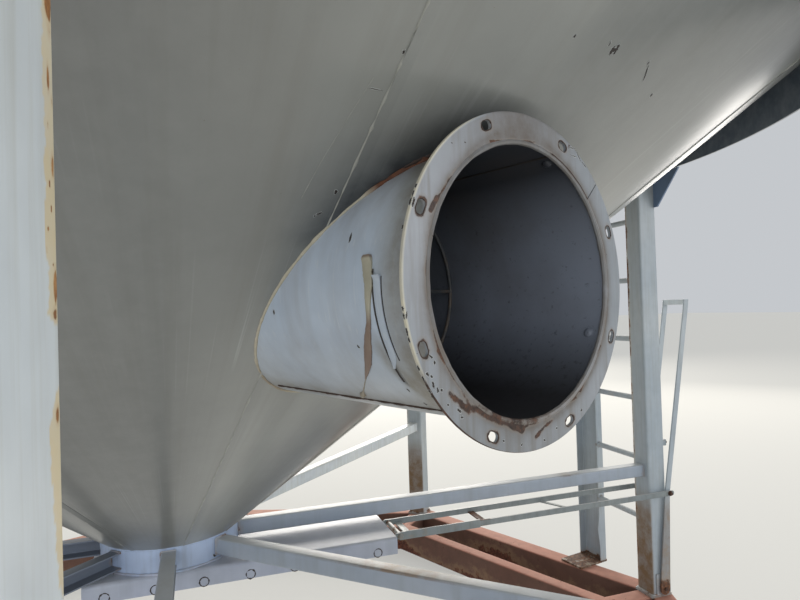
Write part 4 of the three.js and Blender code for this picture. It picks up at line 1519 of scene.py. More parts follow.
    def stain_and_painted_light(self, points: Array) -> Array:
        """Stain at the flange's bottom and near its bore, painted shade at its top, and a painted
        highlight on its left rim.

        Args:
            points: Points of the flange.

        Returns:
            The tone mark of each.
        """
        _, angle, radius = self.place_of(points)
        inner = 1.1 * fade(radius - self.bore, 0.004, 0.008)
        # painted shade at the top, a stain at the bottom
        top, bottom = 0.85 * bell(angle, 93, 26), 0.32 * bell(angle, 262, 34)
        # painted highlight: the left rim paled
        rim = ramp(radius - self.flange_radius + 0.0022, 0, 0.0012)
        rim = rim * ramp(angle, 105, 20) * ramp(angle, 212, -8)
        return np.clip(inner + top + bottom, 0, 0.95) * (1 - rim) - rim

    def make_flange(self, maker: Maker) -> None:
        """The flange ring with its oval holes and open joint, its worn lip and its chips."""
        profile = dense(rounded([
            (self.bore + 0.0005, 0.0), (self.flange_radius, 0.0),
            (self.flange_radius, self.flange_sheet), (self.bore + 0.0005, self.flange_sheet),
        ], 0.0012, 3), 0.003)
        angle = np.arange(360) * 1.0
        points = self.at(self.face - profile[None, :, 1], angle[:, None], profile[None, :, 0])
        ring = lofted(points, closed=True)
        holes = [self.oval(turn_by) for turn_by in all_round(self.holes, self.first_hole)]
        ahead = spin(ALONG_X, self.azimuth)
        start = self.at(self.face, self.joint_gap[0], self.bore - 0.002)
        end = self.at(self.face, self.joint_gap[1], self.flange_radius + 0.004)
        gap = bar(box_outline(0.0022, 0.02, 0.0005), start, end, ahead)
        maker.make("duct_flange", Skin().add(ring, rust=self.wear, tone=self.stain_and_painted_light), ["flange"],
                   stands_for=["duct_flange"], cutters=[*holes, gap], crease=40)
        lip_angle = np.arange(0, 360, 2.0)
        path = self.at(self.face - 0.0032, lip_angle, self.bore - 0.0022)
        made = bead(path, self.out(lip_angle), 0.0048, 5, closed=True, ripple=0.1)
        low = np.clip(-np.sin(np.radians(self.place_of(made.points.reshape(-1, 3))[1] + 15)), 0, 1)
        lip = Skin().add(made, rust=0.16 + 0.28 * low, tone=0.7)
        for i, turn_by in enumerate(all_round(self.holes, self.first_hole)):
            lip.add(bead(self.oval(turn_by, self.face).points[0], ahead, 0.0008, 20 + i, closed=True,
                         ripple=0.6), 1)
        crack = np.linspace(41.0, 72.0, 30)
        lip.add(bead(self.at(self.face + 0.0002, crack, self.bore + 0.0008), ahead, 0.0012, 6), 1)
        maker.make("duct_lip", lip, ["flange", "rust"])
        chips = Skin()
        for i, (turn_by, radius, length, width) in enumerate(self.face_chips):
            along = self.at(0.0, turn_by + 70 + 25 * (i % 3), 1.0) - self.at(0.0, 0.0, 0.0)
            centre = self.at(self.face - 0.0002, turn_by, radius)
            flake(chips, centre, ahead, along, length, width, 360 + i)
        for i, turn_by in enumerate(self.rim_chips):
            out = unit(self.out(turn_by))
            flake(chips, self.at(self.face - 0.003, turn_by, self.flange_radius - 0.0003), out,
                  np.cross(out, ahead), 0.006 + 0.002 * (i % 3), 0.0034, 390 + i)
        maker.make("flange_chips", chips, ["halo", "chip"])

    def oval(self, angle: float, first: float | None = None) -> Surface:
        """A bar through the flange where it has a hole: a slot with round ends.

        Args:
            angle: Where the hole is.
            first: Where along the duct the bar starts; 20 mm behind the face when left out.

        Returns:
            The bar, its first outline at its start.
        """
        outline = box_outline(self.hole_length, self.hole_width, self.hole_width / 2 * 0.98, 6)
        across = self.at(0.0, angle + 90, 1.0) - self.at(0.0, 0.0, 0.0)
        start = self.at(self.face - 0.02 if first is None else first, angle, self.bolt_circle)
        end = self.at(self.face + 0.02, angle, self.bolt_circle)
        return sweep(outline, np.stack([start, end]), self.out(angle), side=across)

    def make_guard(self, maker: Maker) -> None:
        """The hoop and bar that keep a hand or a bird out."""
        angle, reach = np.arange(0, 360, 4.0), self.bore - 0.005
        path = self.at(self.guard_place, angle, reach)
        hoop = bead(path, self.out(angle), self.guard_rod, 3, closed=True, ripple=0.0)
        skin = Skin().add(hoop, rust=0.3)
        skin.add(rod(self.at(self.guard_place, 180.0, reach), self.at(self.guard_place, 0.0, reach),
                     self.guard_rod, 10), rust=0.3)
        maker.make("duct_guard", skin, ["guard"], stands_for=["duct_guard"])


@dataclass
class Wall:
    """The round wall of three courses, with the skirt below the cone's joint.

    Its sheets sink by up to 2.2 mm between the welds of the courses.
    """

    shell: Shell
    courses: int = 3
    sheets: int = 3
    first_seam: float = 13.5
    bead_radius: float = 0.004

    def dress(self, maker: Maker) -> None:
        """Makes the wall and its welds."""
        inner = self.shell.wall_radius - self.shell.wall_sheet
        joint = self.shell.cone_height(self.shell.cone_radius)
        rows, steps = 96, 360
        height = np.linspace(self.shell.skirt_bottom, self.shell.eave, rows)
        profile = np.concatenate([
            np.column_stack([np.full(rows, self.shell.wall_radius), height]),
            np.column_stack([np.full(rows, inner), height[::-1]]),
        ])
        surface = revolve(profile, steps)
        course = (self.shell.eave - joint) / self.courses
        azimuth = np.arange(steps)[:, None]
        level = (profile[None, :, 1] - joint) / course
        sag = 0.0022 * np.abs(np.sin(math.pi * level)) * (0.6 + 0.4 * np.sin(np.radians(5 * azimuth)))
        scale = 1 - sag * ramp(level, 0, 0.1) / self.shell.wall_radius
        surface.points[..., :2] *= scale[..., None]
        rust = np.clip(1 - (profile[:, 1] - self.shell.skirt_bottom) / 0.02, 0, 1) * 0.12
        shaded = (np.arange(2 * rows) >= rows) & (profile[:, 1] < joint + 0.1)
        maker.make("wall_shell", Skin().add(surface, rust=rust[None], tone=shaded[None]),
                   ["wall"], stands_for=quarters("wall"), crease=40)
        seams = Skin()
        for i in range(self.courses):
            level_z = joint + course * i
            r = self.shell.wall_radius - 0.0012
            seams.add(bead(ring_path(r, level_z, 720), UP, self.bead_radius, 20 + i, closed=True),
                      rust=0.15)
            for j in range(self.sheets):
                turn_by = self.first_seam + 360 / self.sheets * (j + i / 2)
                a = math.radians(turn_by)
                z = np.linspace(level_z, level_z + course, 80)
                line = np.column_stack([np.full(80, r * math.cos(a)), np.full(80, r * math.sin(a)), z])
                out = np.array([math.cos(a), math.sin(a), 0.0])
                seams.add(bead(line, out, self.bead_radius, 40 + i * 10 + j), rust=0.15)
        maker.make("wall_seams", seams, ["wall"])


@dataclass
class Roof:
    """The conical roof of lapped sheets, with its filling neck and lid."""

    shell: Shell
    slope: float = 30.0
    sheet: float = 0.008
    sheets: int = 20
    overhang: float = 0.025
    drip: float = 0.032
    lap_half: float = 0.022
    first_lap: float = -31.5
    neck_radius: float = 0.255
    neck_rise: float = 0.130
    lid_radius: float = 0.292

    def height(self, radius: Array | float) -> Array | float:
        """Height of the roof's under side: the eave plus the tangent of the slope times the run."""
        return self.shell.eave + SEAT + (self.shell.wall_radius - radius) * math.tan(
            math.radians(self.slope))

    def dress(self, maker: Maker) -> None:
        """Makes the roof sheets, their laps, the neck and the lid."""
        rise = self.sheet / math.cos(math.radians(self.slope))
        edge = self.shell.wall_radius + self.overhang
        hole = self.neck_radius + SEAT
        run = np.linspace(edge, hole, 40)
        top = np.column_stack([run, self.height(run) + rise])
        under = np.column_stack([run[::-1], self.height(run[::-1])])[:-1]
        drip = np.array([
            (edge - self.sheet, self.height(edge - self.sheet)),
            (edge - self.sheet, self.height(edge) - self.drip), (edge, self.height(edge) - self.drip),
            (edge, self.height(edge)),
        ])
        surface = revolve(np.concatenate([top, under, drip]), 360)
        maker.make("roof_sheets", Skin().add(surface, rust=0.05), ["roof"],
                   stands_for=quarters("roof"), crease=40)
        laps = Skin()
        start = np.array([edge - 0.01, 0.0, self.height(edge - 0.01) + rise])
        end = np.array([hole + 0.04, 0.0, self.height(hole + 0.04) + rise])
        low, high, half = -0.003, 0.0028, self.lap_half
        outline = rounded([(-half, low), (half, low), (half, high), (-half, high)], 0.0015, 2)
        normal = np.array([math.sin(math.radians(self.slope)), 0.0, math.cos(math.radians(self.slope))])
        for azimuth in all_round(self.sheets, self.first_lap):
            laps.add(bar(outline, start, end, normal, 0.1).turned(azimuth), rust=0.1)
        maker.make("roof_laps", laps, ["roof"])
        self.make_neck(maker, hole)

    def make_neck(self, maker: Maker, hole: float) -> None:
        """The neck with its weld, and the lid with its rim, dome and grip."""
        low, high = self.height(hole) - 0.010, self.height(hole) + self.neck_rise
        r = self.neck_radius
        bore = r - self.sheet
        wall = rounded([(bore, low), (r, low), (r, high), (bore, high)], 0.002, 3)
        neck = Skin().add(revolve(wall, 96))
        z = self.height(r) + self.sheet / math.cos(math.radians(self.slope))
        neck.add(bead(ring_path(r + 0.001, z, 180), UP, 0.006, 71, closed=True), rust=0.25)
        maker.make("roof_neck", neck, ["roof"], stands_for=["roof_neck"])
        seat = high + SEAT
        rim = self.lid_radius
        share = np.linspace(0, 1, 14)
        dome = np.column_stack([rim * (1 - share) + 0.0005,
                                seat + 0.010 + 0.030 * np.sin(share * math.pi / 2)])
        profile = np.concatenate([
            np.array([(0.0005, seat + 0.002), (rim - 0.006, seat + 0.002), (rim - 0.006, seat - 0.042),
                      (rim - 0.001, seat - 0.042), (rim, seat - 0.040)]),
            dome,
        ])
        lid = Skin().add(revolve(profile, 96), rust=0.08)
        top = seat + 0.036
        half, rise = 0.07, 0.022
        grip = rounded([(-half, 0.0), (-half, rise), (half, rise), (half, 0.0)], 0.012, 5, closed=False)
        path = np.column_stack([np.zeros(len(grip)), grip[:, 0], top + grip[:, 1] - 0.004])
        lid.add(sweep(circle(0.005, 10), path, ALONG_X), rust=0.4)
        maker.make("roof_lid", lid, ["roof"], stands_for=["roof_lid"], crease=30)


@dataclass
class Legs:
    """Eight legs of square hollow section, each with a gusset under the skirt and a foot."""

    shell: Shell
    count: int = 8
    radius: float = 2.236
    depth: float = 0.100
    width: float = 0.108
    corner: float = 0.010
    skid_top: float = 0.150
    foot: float = 0.120
    foot_plate: float = 0.010
    gusset_height: float = 0.164
    gusset_half: float = 0.224
    gusset_foot_half: float = 0.078
    gusset_plate: float = 0.008
    near: int = 6
    bared: tuple[tuple[float, float], ...] = (
        (1.400, 0.000), (1.470, 0.000), (1.490, 0.009), (1.520, 0.013), (1.551, 0.0175),
        (1.560, 0.0105), (1.5687, 0.000), (1.592, 0.000), (1.5935, 0.0066), (1.598, 0.015),
        (1.604, 0.014), (1.610, 0.0122), (1.616, 0.0126), (1.622, 0.0175), (1.628, 0.022),
        (1.634, 0.0193), (1.645, 0.014), (1.657, 0.0166), (1.669, 0.0135), (1.694, 0.016),
        (1.710, 0.015), (1.735, 0.013), (1.790, 0.012), (1.830, 0.006), (1.860, 0.000),
    )
    spots: tuple[tuple[float, float, float, float, float], ...] = (
        (1.730, 0.0060, 0.0140, 0.0110, 0.76), (1.716, 0.0050, 0.0080, 0.0080, 0.54),
        (1.695, 0.0100, 0.0095, 0.0042, 0.74), (1.688, 0.0030, 0.0060, 0.0050, 0.58),
        (1.660, 0.0040, 0.0090, 0.0070, 0.58), (1.609, 0.0035, 0.0095, 0.0060, 0.80),
        (1.597, 0.0060, 0.0045, 0.0080, 0.56), (1.651, 0.0110, 0.0018, 0.0022, 0.66),
        (1.632, 0.0150, 0.0018, 0.0022, 0.66), (1.641, 0.0090, 0.0020, 0.0022, 0.66),
        (1.675, 0.0120, 0.0030, 0.0020, 0.60), (1.555, 0.0060, 0.0060, 0.0060, 0.56),
        (1.750, 0.0040, 0.0160, 0.0080, 0.70), (1.780, 0.0030, 0.0100, 0.0060, 0.66),
        (1.623, 0.0180, 0.0016, 0.0020, 0.62), (1.618, 0.0080, 0.0016, 0.0018, 0.62),
    )
    stains: dict[int, tuple[float, float]] = field(default_factory=lambda: {
        0: (0.66, 1.0), 1: (0.66, 1.0), 6: (0.2, 0.2)})

    def post(self) -> Surface:
        """The hollow section from its foot to the skirt, as a closed post."""
        outline = dense(box_outline(self.depth, self.width, self.corner, 6), 0.008)
        start = (self.radius, 0.0, self.skid_top + SEAT)
        end = (self.radius, 0.0, self.shell.skirt_bottom - SEAT)
        return bar(outline, start, end, ALONG_Y, 0.03)

    def head(self) -> Surface:
        """The part above the skirt's edge, whose top follows the cone."""
        inner = self.radius - self.depth / 2
        outer = self.shell.wall_radius - self.shell.wall_sheet - 0.005
        outline = dense(box_outline(outer - inner, self.width, self.corner * 0.8, 4), 0.012)
        middle = (inner + outer) / 2
        low = self.shell.skirt_bottom - 0.01
        made = bar(outline, (middle, 0.0, low), (middle, 0.0, low + 1.0), ALONG_Y)
        radius = np.hypot(made.points[1, :, 0], made.points[1, :, 1])
        made.points[1, :, 2] = self.shell.cone_height(radius) - SEAT
        return made

    def gusset(self) -> Surface:
        """The flared plate at the post's outer face, welded to the skirt's edge."""
        top = self.shell.skirt_bottom - SEAT
        half = self.gusset_foot_half
        outline = rounded([
            (-half, top - self.gusset_height), (half, top - self.gusset_height),
            (self.gusset_half, top - 0.001), (self.gusset_half, top), (-self.gusset_half, top),
            (-self.gusset_half, top - 0.001),
        ], 0.0004, 1)
        outer = self.radius + self.depth / 2 - 0.001
        return prism(outline, (outer - self.gusset_plate / 2, 0.0, 0.0), ALONG_Y, UP, self.gusset_plate)

    def edge_wear(self, points: Array, number: int) -> tuple[Array, Array]:
        """Rust and tone on a post at azimuth 0.

        Rust runs along the inner edge on the anticlockwise side, in a line 3 mm wide with a
        cream border, and comes and goes up the post by a slow wave that differs from leg to leg.
        The inner face is stained brown up to a height of its own.

        Args:
            points: The post's points.
            number: The leg's number less one.

        Returns:
            The rust marks and the tone marks.
        """
        x, y, z = points[:, 0], points[:, 1], points[:, 2]
        inner = self.radius - self.depth / 2
        edge = np.hypot(x - inner - 0.002, y - self.width / 2 + 0.002)
        wave = 0.62 + 0.38 * np.sin(z * 5.2 + number * 1.7)
        wide = 0.0085
        if number == 0:
            wave = 0.60 + 0.24 * bell(z, 1.72, 0.28) + 0.08 * np.sin(z * 23)
            wide = 0.024
        line = 0.78 * bell(edge, 0, wide) * wave
        foot = 0.3 * fade(z, 0.17, 0.05)
        top, strength = self.stains.get(number, (0.30, 0.35))
        brown = strength * ramp(x, inner + 0.012, -0.008) * ramp(z, top, -0.16) ** 0.6
        cream = 0.75 * bell(edge, 0, 0.015) * wave
        return np.maximum(line, foot), np.where(cream > brown, -cream, brown)

    def broken_edge(self) -> tuple[Surface, Array, Array]:
        """The strip of broken coat round the near leg's inner corner, 0.3 mm proud.

        It covers 28 mm of the side face and the corner's quarter circle. From the corner up to a
        border that wanders with the height, the coat is gone and a cream undercoat shows. Rust
        shows in it in spots, each a bell curve.

        Returns:
            The strip, its rust marks and its tone marks.
        """
        arc = np.radians(np.linspace(0, 90, 10))
        flat_run = np.linspace(0.028, 0.001, 28)
        centre = np.array([self.radius - self.depth / 2 + self.corner, self.width / 2 - self.corner])
        shapes = []
        for r in (self.corner + 0.0003, self.corner - 0.0010):
            bend = centre + r * np.column_stack([-np.sin(arc), np.cos(arc)])
            flat = centre + np.column_stack([flat_run, r - 0.0005 * flat_run / 0.028])
            shapes.append(np.concatenate([flat, bend]))
        outline = np.concatenate([shapes[0], shapes[1][::-1]])
        z = np.arange(1.40, 1.90, 0.002)
        path = np.column_stack([np.zeros((len(z), 2)), z])
        strip = sweep(outline, path, ALONG_Y, side=ALONG_X)
        reach = np.concatenate([flat_run + 0.0035, np.zeros(10)])
        reach = np.concatenate([reach, reach[::-1]])[None, :]
        border = 1.25 * np.interp(z, *np.array(self.bared).T)
        border = border + 0.0012 * np.sin(z * 402 + 1) + 0.0010 * np.sin(z * 1130)
        cream = np.clip((border[:, None] - reach) / 0.0022 + 0.3, 0, 1) * (border[:, None] > 0.003)
        rust = np.zeros_like(cream)
        for height, across, tall, wide, strength in self.spots:
            near = ((z[:, None] - height) / tall) ** 2 + ((reach - across) / wide) ** 2
            rust = np.maximum(rust, strength * np.exp(-near))
        return strip, rust, -0.95 * cream

    def dress(self, maker: Maker) -> None:
        """Makes the legs, each with its weld beads."""
        base = self.skid_top + SEAT
        sole = bar(box_outline(self.foot, self.foot, 0.004), (self.radius, 0.0, base),
                   (self.radius, 0.0, base + self.foot_plate), ALONG_Y)
        ring = dense(box_outline(self.depth + 0.004, self.width + 0.004, self.corner, 3), 0.01)
        path = np.column_stack([self.radius + ring[:, 0], ring[:, 1],
                                np.full(len(ring), base + self.foot_plate + 0.001)])
        for i, azimuth in enumerate(all_round(self.count)):
            post = self.post()
            rust, tone = self.edge_wear(post.points.reshape(-1, 3), i)
            skin = Skin()
            skin.add(post.turned(azimuth), rust=rust, tone=tone)
            # The head and gusset take the darker enamel that paints the shade under the skirt.
            skin.add(self.head().turned(azimuth), 1, rust=0.1)
            skin.add(self.gusset().turned(azimuth), 1, rust=0.12)
            skin.add(sole.turned(azimuth), rust=0.36, tone=0.5)
            skin.add(bead(path, UP, 0.005, 90 + i, closed=True).turned(azimuth), rust=0.45)
            coat = "frame"
            if i == self.near:
                # The near leg takes the lighter enamel that paints light, over its real broken edge.
                coat = "painted_light_worn"
                strip, rust, tone = self.broken_edge()
                skin.add(strip.turned(azimuth), rust=rust, tone=tone)
            maker.make(f"leg_{i + 1}", skin, [coat, "under"],
                       stands_for=[f"leg_{i + 1}"], bevel=0.0012)


@dataclass
class Spokes:
    """Folded channels from the outlet collar to the legs."""

    count: int = 8
    start: float = 0.2443
    end: float = 2.1857
    top: float = 0.790
    height: float = 0.058
    width: float = 0.050
    sheet: float = 0.005
    bend: float = 0.006
    marks: dict[int, tuple[float, float, float]] = field(default_factory=lambda: {
        0: (1.756, 0.05, 0.6), 7: (0.96, 0.24, 0.75)})

    def channel(self) -> Surface:
        """The channel at azimuth 0, its web on the clockwise side."""
        half, inset = self.width / 2, self.sheet / 2
        low = self.top - self.height
        outline = folded([
            (half, low + inset), (-half + inset, low + inset),
            (-half + inset, self.top - inset), (half, self.top - inset),
        ], self.sheet, self.bend)
        count = 60
        path = np.column_stack([np.linspace(self.start, self.end, count), np.zeros((count, 2))])
        return sweep(outline, path, UP, side=ALONG_Y)

    def dress(self, maker: Maker) -> None:
        """Makes the channels with their end welds."""
        for i, azimuth in enumerate(all_round(self.count)):
            made = self.channel()
            x, z = made.points[..., 0], made.points[..., 2]
            end = np.maximum(fade(x, self.start, 0.015), fade(self.end - x, 0, 0.02))
            middle, reach, strength = self.marks.get(i, (0.9 + 0.13 * i, 0.2, 0.3))
            brown = strength * bell(x, middle, reach) * (z > self.top - 0.008)
            skin = Skin().add(made.turned(azimuth), rust=0.42 * end + 0.4 * brown, tone=brown)
            for x_end, seed in ((self.start + 0.002, 1), (self.end - 0.002, 2)):
                half = self.width / 2
                path = np.array([
                    (x_end, half, self.top), (x_end, -half + 0.003, self.top),
                    (x_end, -half, self.top - 0.003), (x_end, -half, self.top - self.height)])
                line = [np.linspace(a, b, 8)[:-1] for a, b in zip(path[:-1], path[1:])]
                weld = bead(np.concatenate([*line, path[-1:]]), ALONG_X, 0.0035, seed + 3 * i)
                skin.add(weld.turned(azimuth), rust=0.35)
            # Spoke 2 takes the lighter enamel that paints light; spokes 5 and 6 the darker one that
            # paints shade.
            coat = {1: "painted_light_worn", 4: "painted_shade_slate", 5: "painted_shade_slate"}.get(i, "spoke")
            maker.make(f"spoke_{i + 1}", skin, [coat], stands_for=[f"spoke_{i + 1}"])


@dataclass
class Skid:
    """Two eight-sided rings of hollow beams, tied together under each leg."""

    count: int = 8
    height: float = 0.150
    outer: float = 2.096
    outer_width: float = 0.108
    inner: float = 1.813
    inner_width: float = 0.074
    tie: float = 0.100
    corner: float = 0.009

    def ring(self, apothem: float, width: float) -> Surface:
        """A mitred ring whose corners lie under the legs.

        Args:
            apothem: Distance from the silo's axis to the middle of a side.
            width: Width of the beam.

        Returns:
            The closed ring.
        """
        angle = np.arange(self.count) * 2 * math.pi / self.count
        radius = apothem / math.cos(math.pi / self.count)
        corners = np.column_stack([radius * np.cos(angle), radius * np.sin(angle)])
        steps = 24
        share = np.arange(steps)[:, None] / steps
        path = np.concatenate([a + share * (b - a) for a, b in zip(corners, np.roll(corners, -1, 0))])
        middle = np.column_stack([path, np.full(len(path), self.height / 2)])
        outline = dense(box_outline(width, self.height, self.corner, 4), 0.02)
        return sweep(outline, middle, UP, closed=True)

    def dress(self, maker: Maker) -> None:
        """Makes the rings, the ties and the welds at their corners."""
        def rust(points: Array) -> Array:
            """Rust near the ground, and in patches that come and go along the beams."""
            wave = np.sin(points[:, 0] * 6.1) * np.sin(points[:, 1] * 5.3)
            return np.clip(0.62 - points[:, 2] / 0.2, 0, 1) * 0.8 + 0.3 * np.clip(wave, 0, 1)

        for name, apothem, width, nodes in (
            ("skid_outer_ring", self.outer, self.outer_width, quarters("skid")),
            ("skid_inner_ring", self.inner, self.inner_width, []),
        ):
            maker.make(name, Skin().add(self.ring(apothem, width), rust=rust), ["primer"],
                       stands_for=nodes)
        ties = Skin()
        corner = math.cos(math.pi / self.count)
        high = self.height - 0.001
        start = (self.inner + self.inner_width / 2 - 0.02) / corner
        end = (self.outer - self.outer_width / 2 + 0.02) / corner
        tie = bar(box_outline(self.tie, high, self.corner, 4), (start, 0.0, high / 2),
                  (end, 0.0, high / 2), UP, 0.04)
        count = 24
        for i, azimuth in enumerate(all_round(self.count)):
            ties.add(tie.turned(azimuth), rust=rust)
            for apothem, width in ((self.inner, self.inner_width), (self.outer, self.outer_width)):
                a, b = (apothem - width / 2) / corner, (apothem + width / 2) / corner
                line = np.column_stack([np.linspace(a, b, count), np.zeros(count),
                                        np.full(count, self.height - 0.002)])
                ties.add(bead(line, UP, 0.004, 120 + i).turned(azimuth), rust=0.7)
        maker.make("skid_ties", ties, ["primer"])


@dataclass
class OutletGate:
    """The collar under the cone, the folded gate housing, and the gate that the lever pulls."""

    shell: Shell
    collar_radius: float = 0.244
    collar_bore: float = 0.236
    top: float = 0.714
    depth: float = 0.062
    sheet: float = 0.005
    half_width: float = 0.248
    back: float = -0.270
    front: float = 0.825
    bend: float = 0.013
    rail_reach: float = 0.025
    rail_sheet: float = 0.004
    gate_sheet: float = 0.008
    gate_front: float = 0.300
    tongue_half: float = 0.040
    pivot_x: float = 0.890
    pivot_z: float = 0.656
    pivot_rod: float = 0.010
    pivot_play: float = 0.0006
    bolt_pitch: float = 0.158
    first_bolt: float = -0.202
    bolt_drop: float = 0.047
    bolts: int = 7
    paint_ring: float = 0.0158

    def dress(self, maker: Maker) -> None:
        """Makes collar, housing and gate."""
        self.make_collar(maker)
        self.make_housing(maker)
        self.make_gate(maker)

    def make_collar(self, maker: Maker) -> None:
        """The rolled collar, with its weld to the cone and to the housing."""
        low, high = self.top + SEAT, self.shell.cone_low - SEAT
        height = np.linspace(low, high, 12)
        outer = np.column_stack([self.collar_radius + 0.0008 * np.sin(height * 90), height])
        inner = np.column_stack([np.full(len(height), self.collar_bore), height[::-1]])
        profile = np.concatenate([outer, inner])
        skin = Skin().add(revolve(profile, 144), rust=0.42 * fade(profile[:, 1], low, 0.006)[None])
        for z, r, size, rust in ((high, self.collar_radius + 0.001, 0.0042, 0.1),
                                 (low + 0.002, self.collar_radius + 0.002, 0.005, 0.35)):
            weld = bead(ring_path(r, z, 240), UP, size, int(z * 1000), closed=True, ripple=0.2)
            skin.add(weld, rust=rust)
        maker.make("outlet_collar", skin, ["collar"],
                   stands_for=["outlet_collar"], crease=40)

    def make_housing(self, maker: Maker) -> None:
        """The housing with its back plate, rails and bolts, and the marks on it and the collar.

        It is one sheet folded down at both sides, with a round hole under the collar.
        """
        inset = self.sheet / 2
        low = self.top - self.depth
        outline = folded([
            (-self.half_width + inset, low), (-self.half_width + inset, self.top - inset),
            (self.half_width - inset, self.top - inset), (self.half_width - inset, low),
        ], self.sheet, self.bend, 6)
        count = 40
        path = np.column_stack([np.linspace(self.back, self.front, count), np.zeros((count, 2))])
        made = sweep(outline, path, UP, side=ALONG_Y)
        x = made.points[..., 0]
        rust = 0.2 * fade(self.front - x, 0, 0.01) + 0.05
        well = rod((0.0, 0.0, low - 0.05), (0.0, 0.0, self.top + 0.05), self.collar_bore, 96)
        skin = Skin().add(made, rust=rust)
        inside = self.half_width - self.sheet
        rail = box_outline(self.rail_reach, self.rail_sheet, 0.001, 2)
        for side in (-1, 1):
            y = side * (inside - self.rail_reach / 2 + 0.001)
            skin.add(bar_along_x(rail, self.back + 0.004, self.front, y, low + 0.011), rust=0.4)
        back = box_outline(2 * inside + 0.002, self.depth - 0.006, 0.001, 2)
        skin.add(bar_along_x(back, self.back + 0.0005, self.back + self.sheet, 0.0,
                             self.top - self.depth / 2 - 0.002), rust=0.3)
        marks = Skin()
        for i in range(self.bolts):
            for side in (-1, 1):
                centre = (self.first_bolt + self.bolt_pitch * i, side * self.half_width,
                          self.top - self.bolt_drop)
                hex_bolt(skin, centre, (0.0, side, 0.0), 0.022)
                turn_by = np.linspace(0, 2 * math.pi, 40, endpoint=False)[:, None]
                ring = centre + self.paint_ring * (np.cos(turn_by) * ALONG_X + np.sin(turn_by) * UP)
                marks.add(bead(ring, (0.0, side, 0.0), 0.0017, 420 + i, closed=True, ripple=0.6), 1)
        maker.make("gate_housing", skin, ["housing"],
                   stands_for=["gate_housing"], cutters=[well], crease=30)
        hole = spin(np.array([self.collar_radius, 0.0, 0.0]), -51.3)
        flake(marks, hole * 0.999 + UP * 0.728, hole, UP, 0.017, 0.014, 440)
        maker.make("housing_marks", marks, ["halo", "chip"])

    def make_gate(self, maker: Maker) -> None:
        """The blade, and the tongue with the eye that the link hooks into."""
        low = self.top - self.depth + 0.009 + self.rail_sheet + SEAT
        middle, sheet = low + self.gate_sheet / 2, self.gate_sheet
        half = self.half_width - self.sheet - 0.005
        start = self.back + self.sheet + 0.005
        reach = self.pivot_rod + self.pivot_play + 0.010
        blade, tongue = (box_outline(2 * h, sheet, 0.001, 2) for h in (half, self.tongue_half))
        skin = Skin().add(bar_along_x(blade, start, self.gate_front, 0.0, middle), rust=0.3)
        skin.add(bar_along_x(tongue, self.gate_front - 0.001, self.pivot_x + reach, 0.0, middle),
                 rust=0.5)
        floor, top = self.pivot_z - reach, low + sheet - 0.0005
        lug = rounded([(-reach, floor), (reach, floor), (reach, top), (-reach, top)], 0.004, 3)
        skin.add(prism(lug, (self.pivot_x, 0.0, 0.0), ALONG_X, UP, 2 * self.tongue_half), rust=0.55)
        eye = rod_along_y(self.pivot_x, self.pivot_z, -0.2, 0.2, self.pivot_rod + self.pivot_play, 32)
        maker.make("slide_gate", skin, ["frame"], Body.GATE,
                   stands_for=["slide_gate"], cutters=[eye], crease=40)


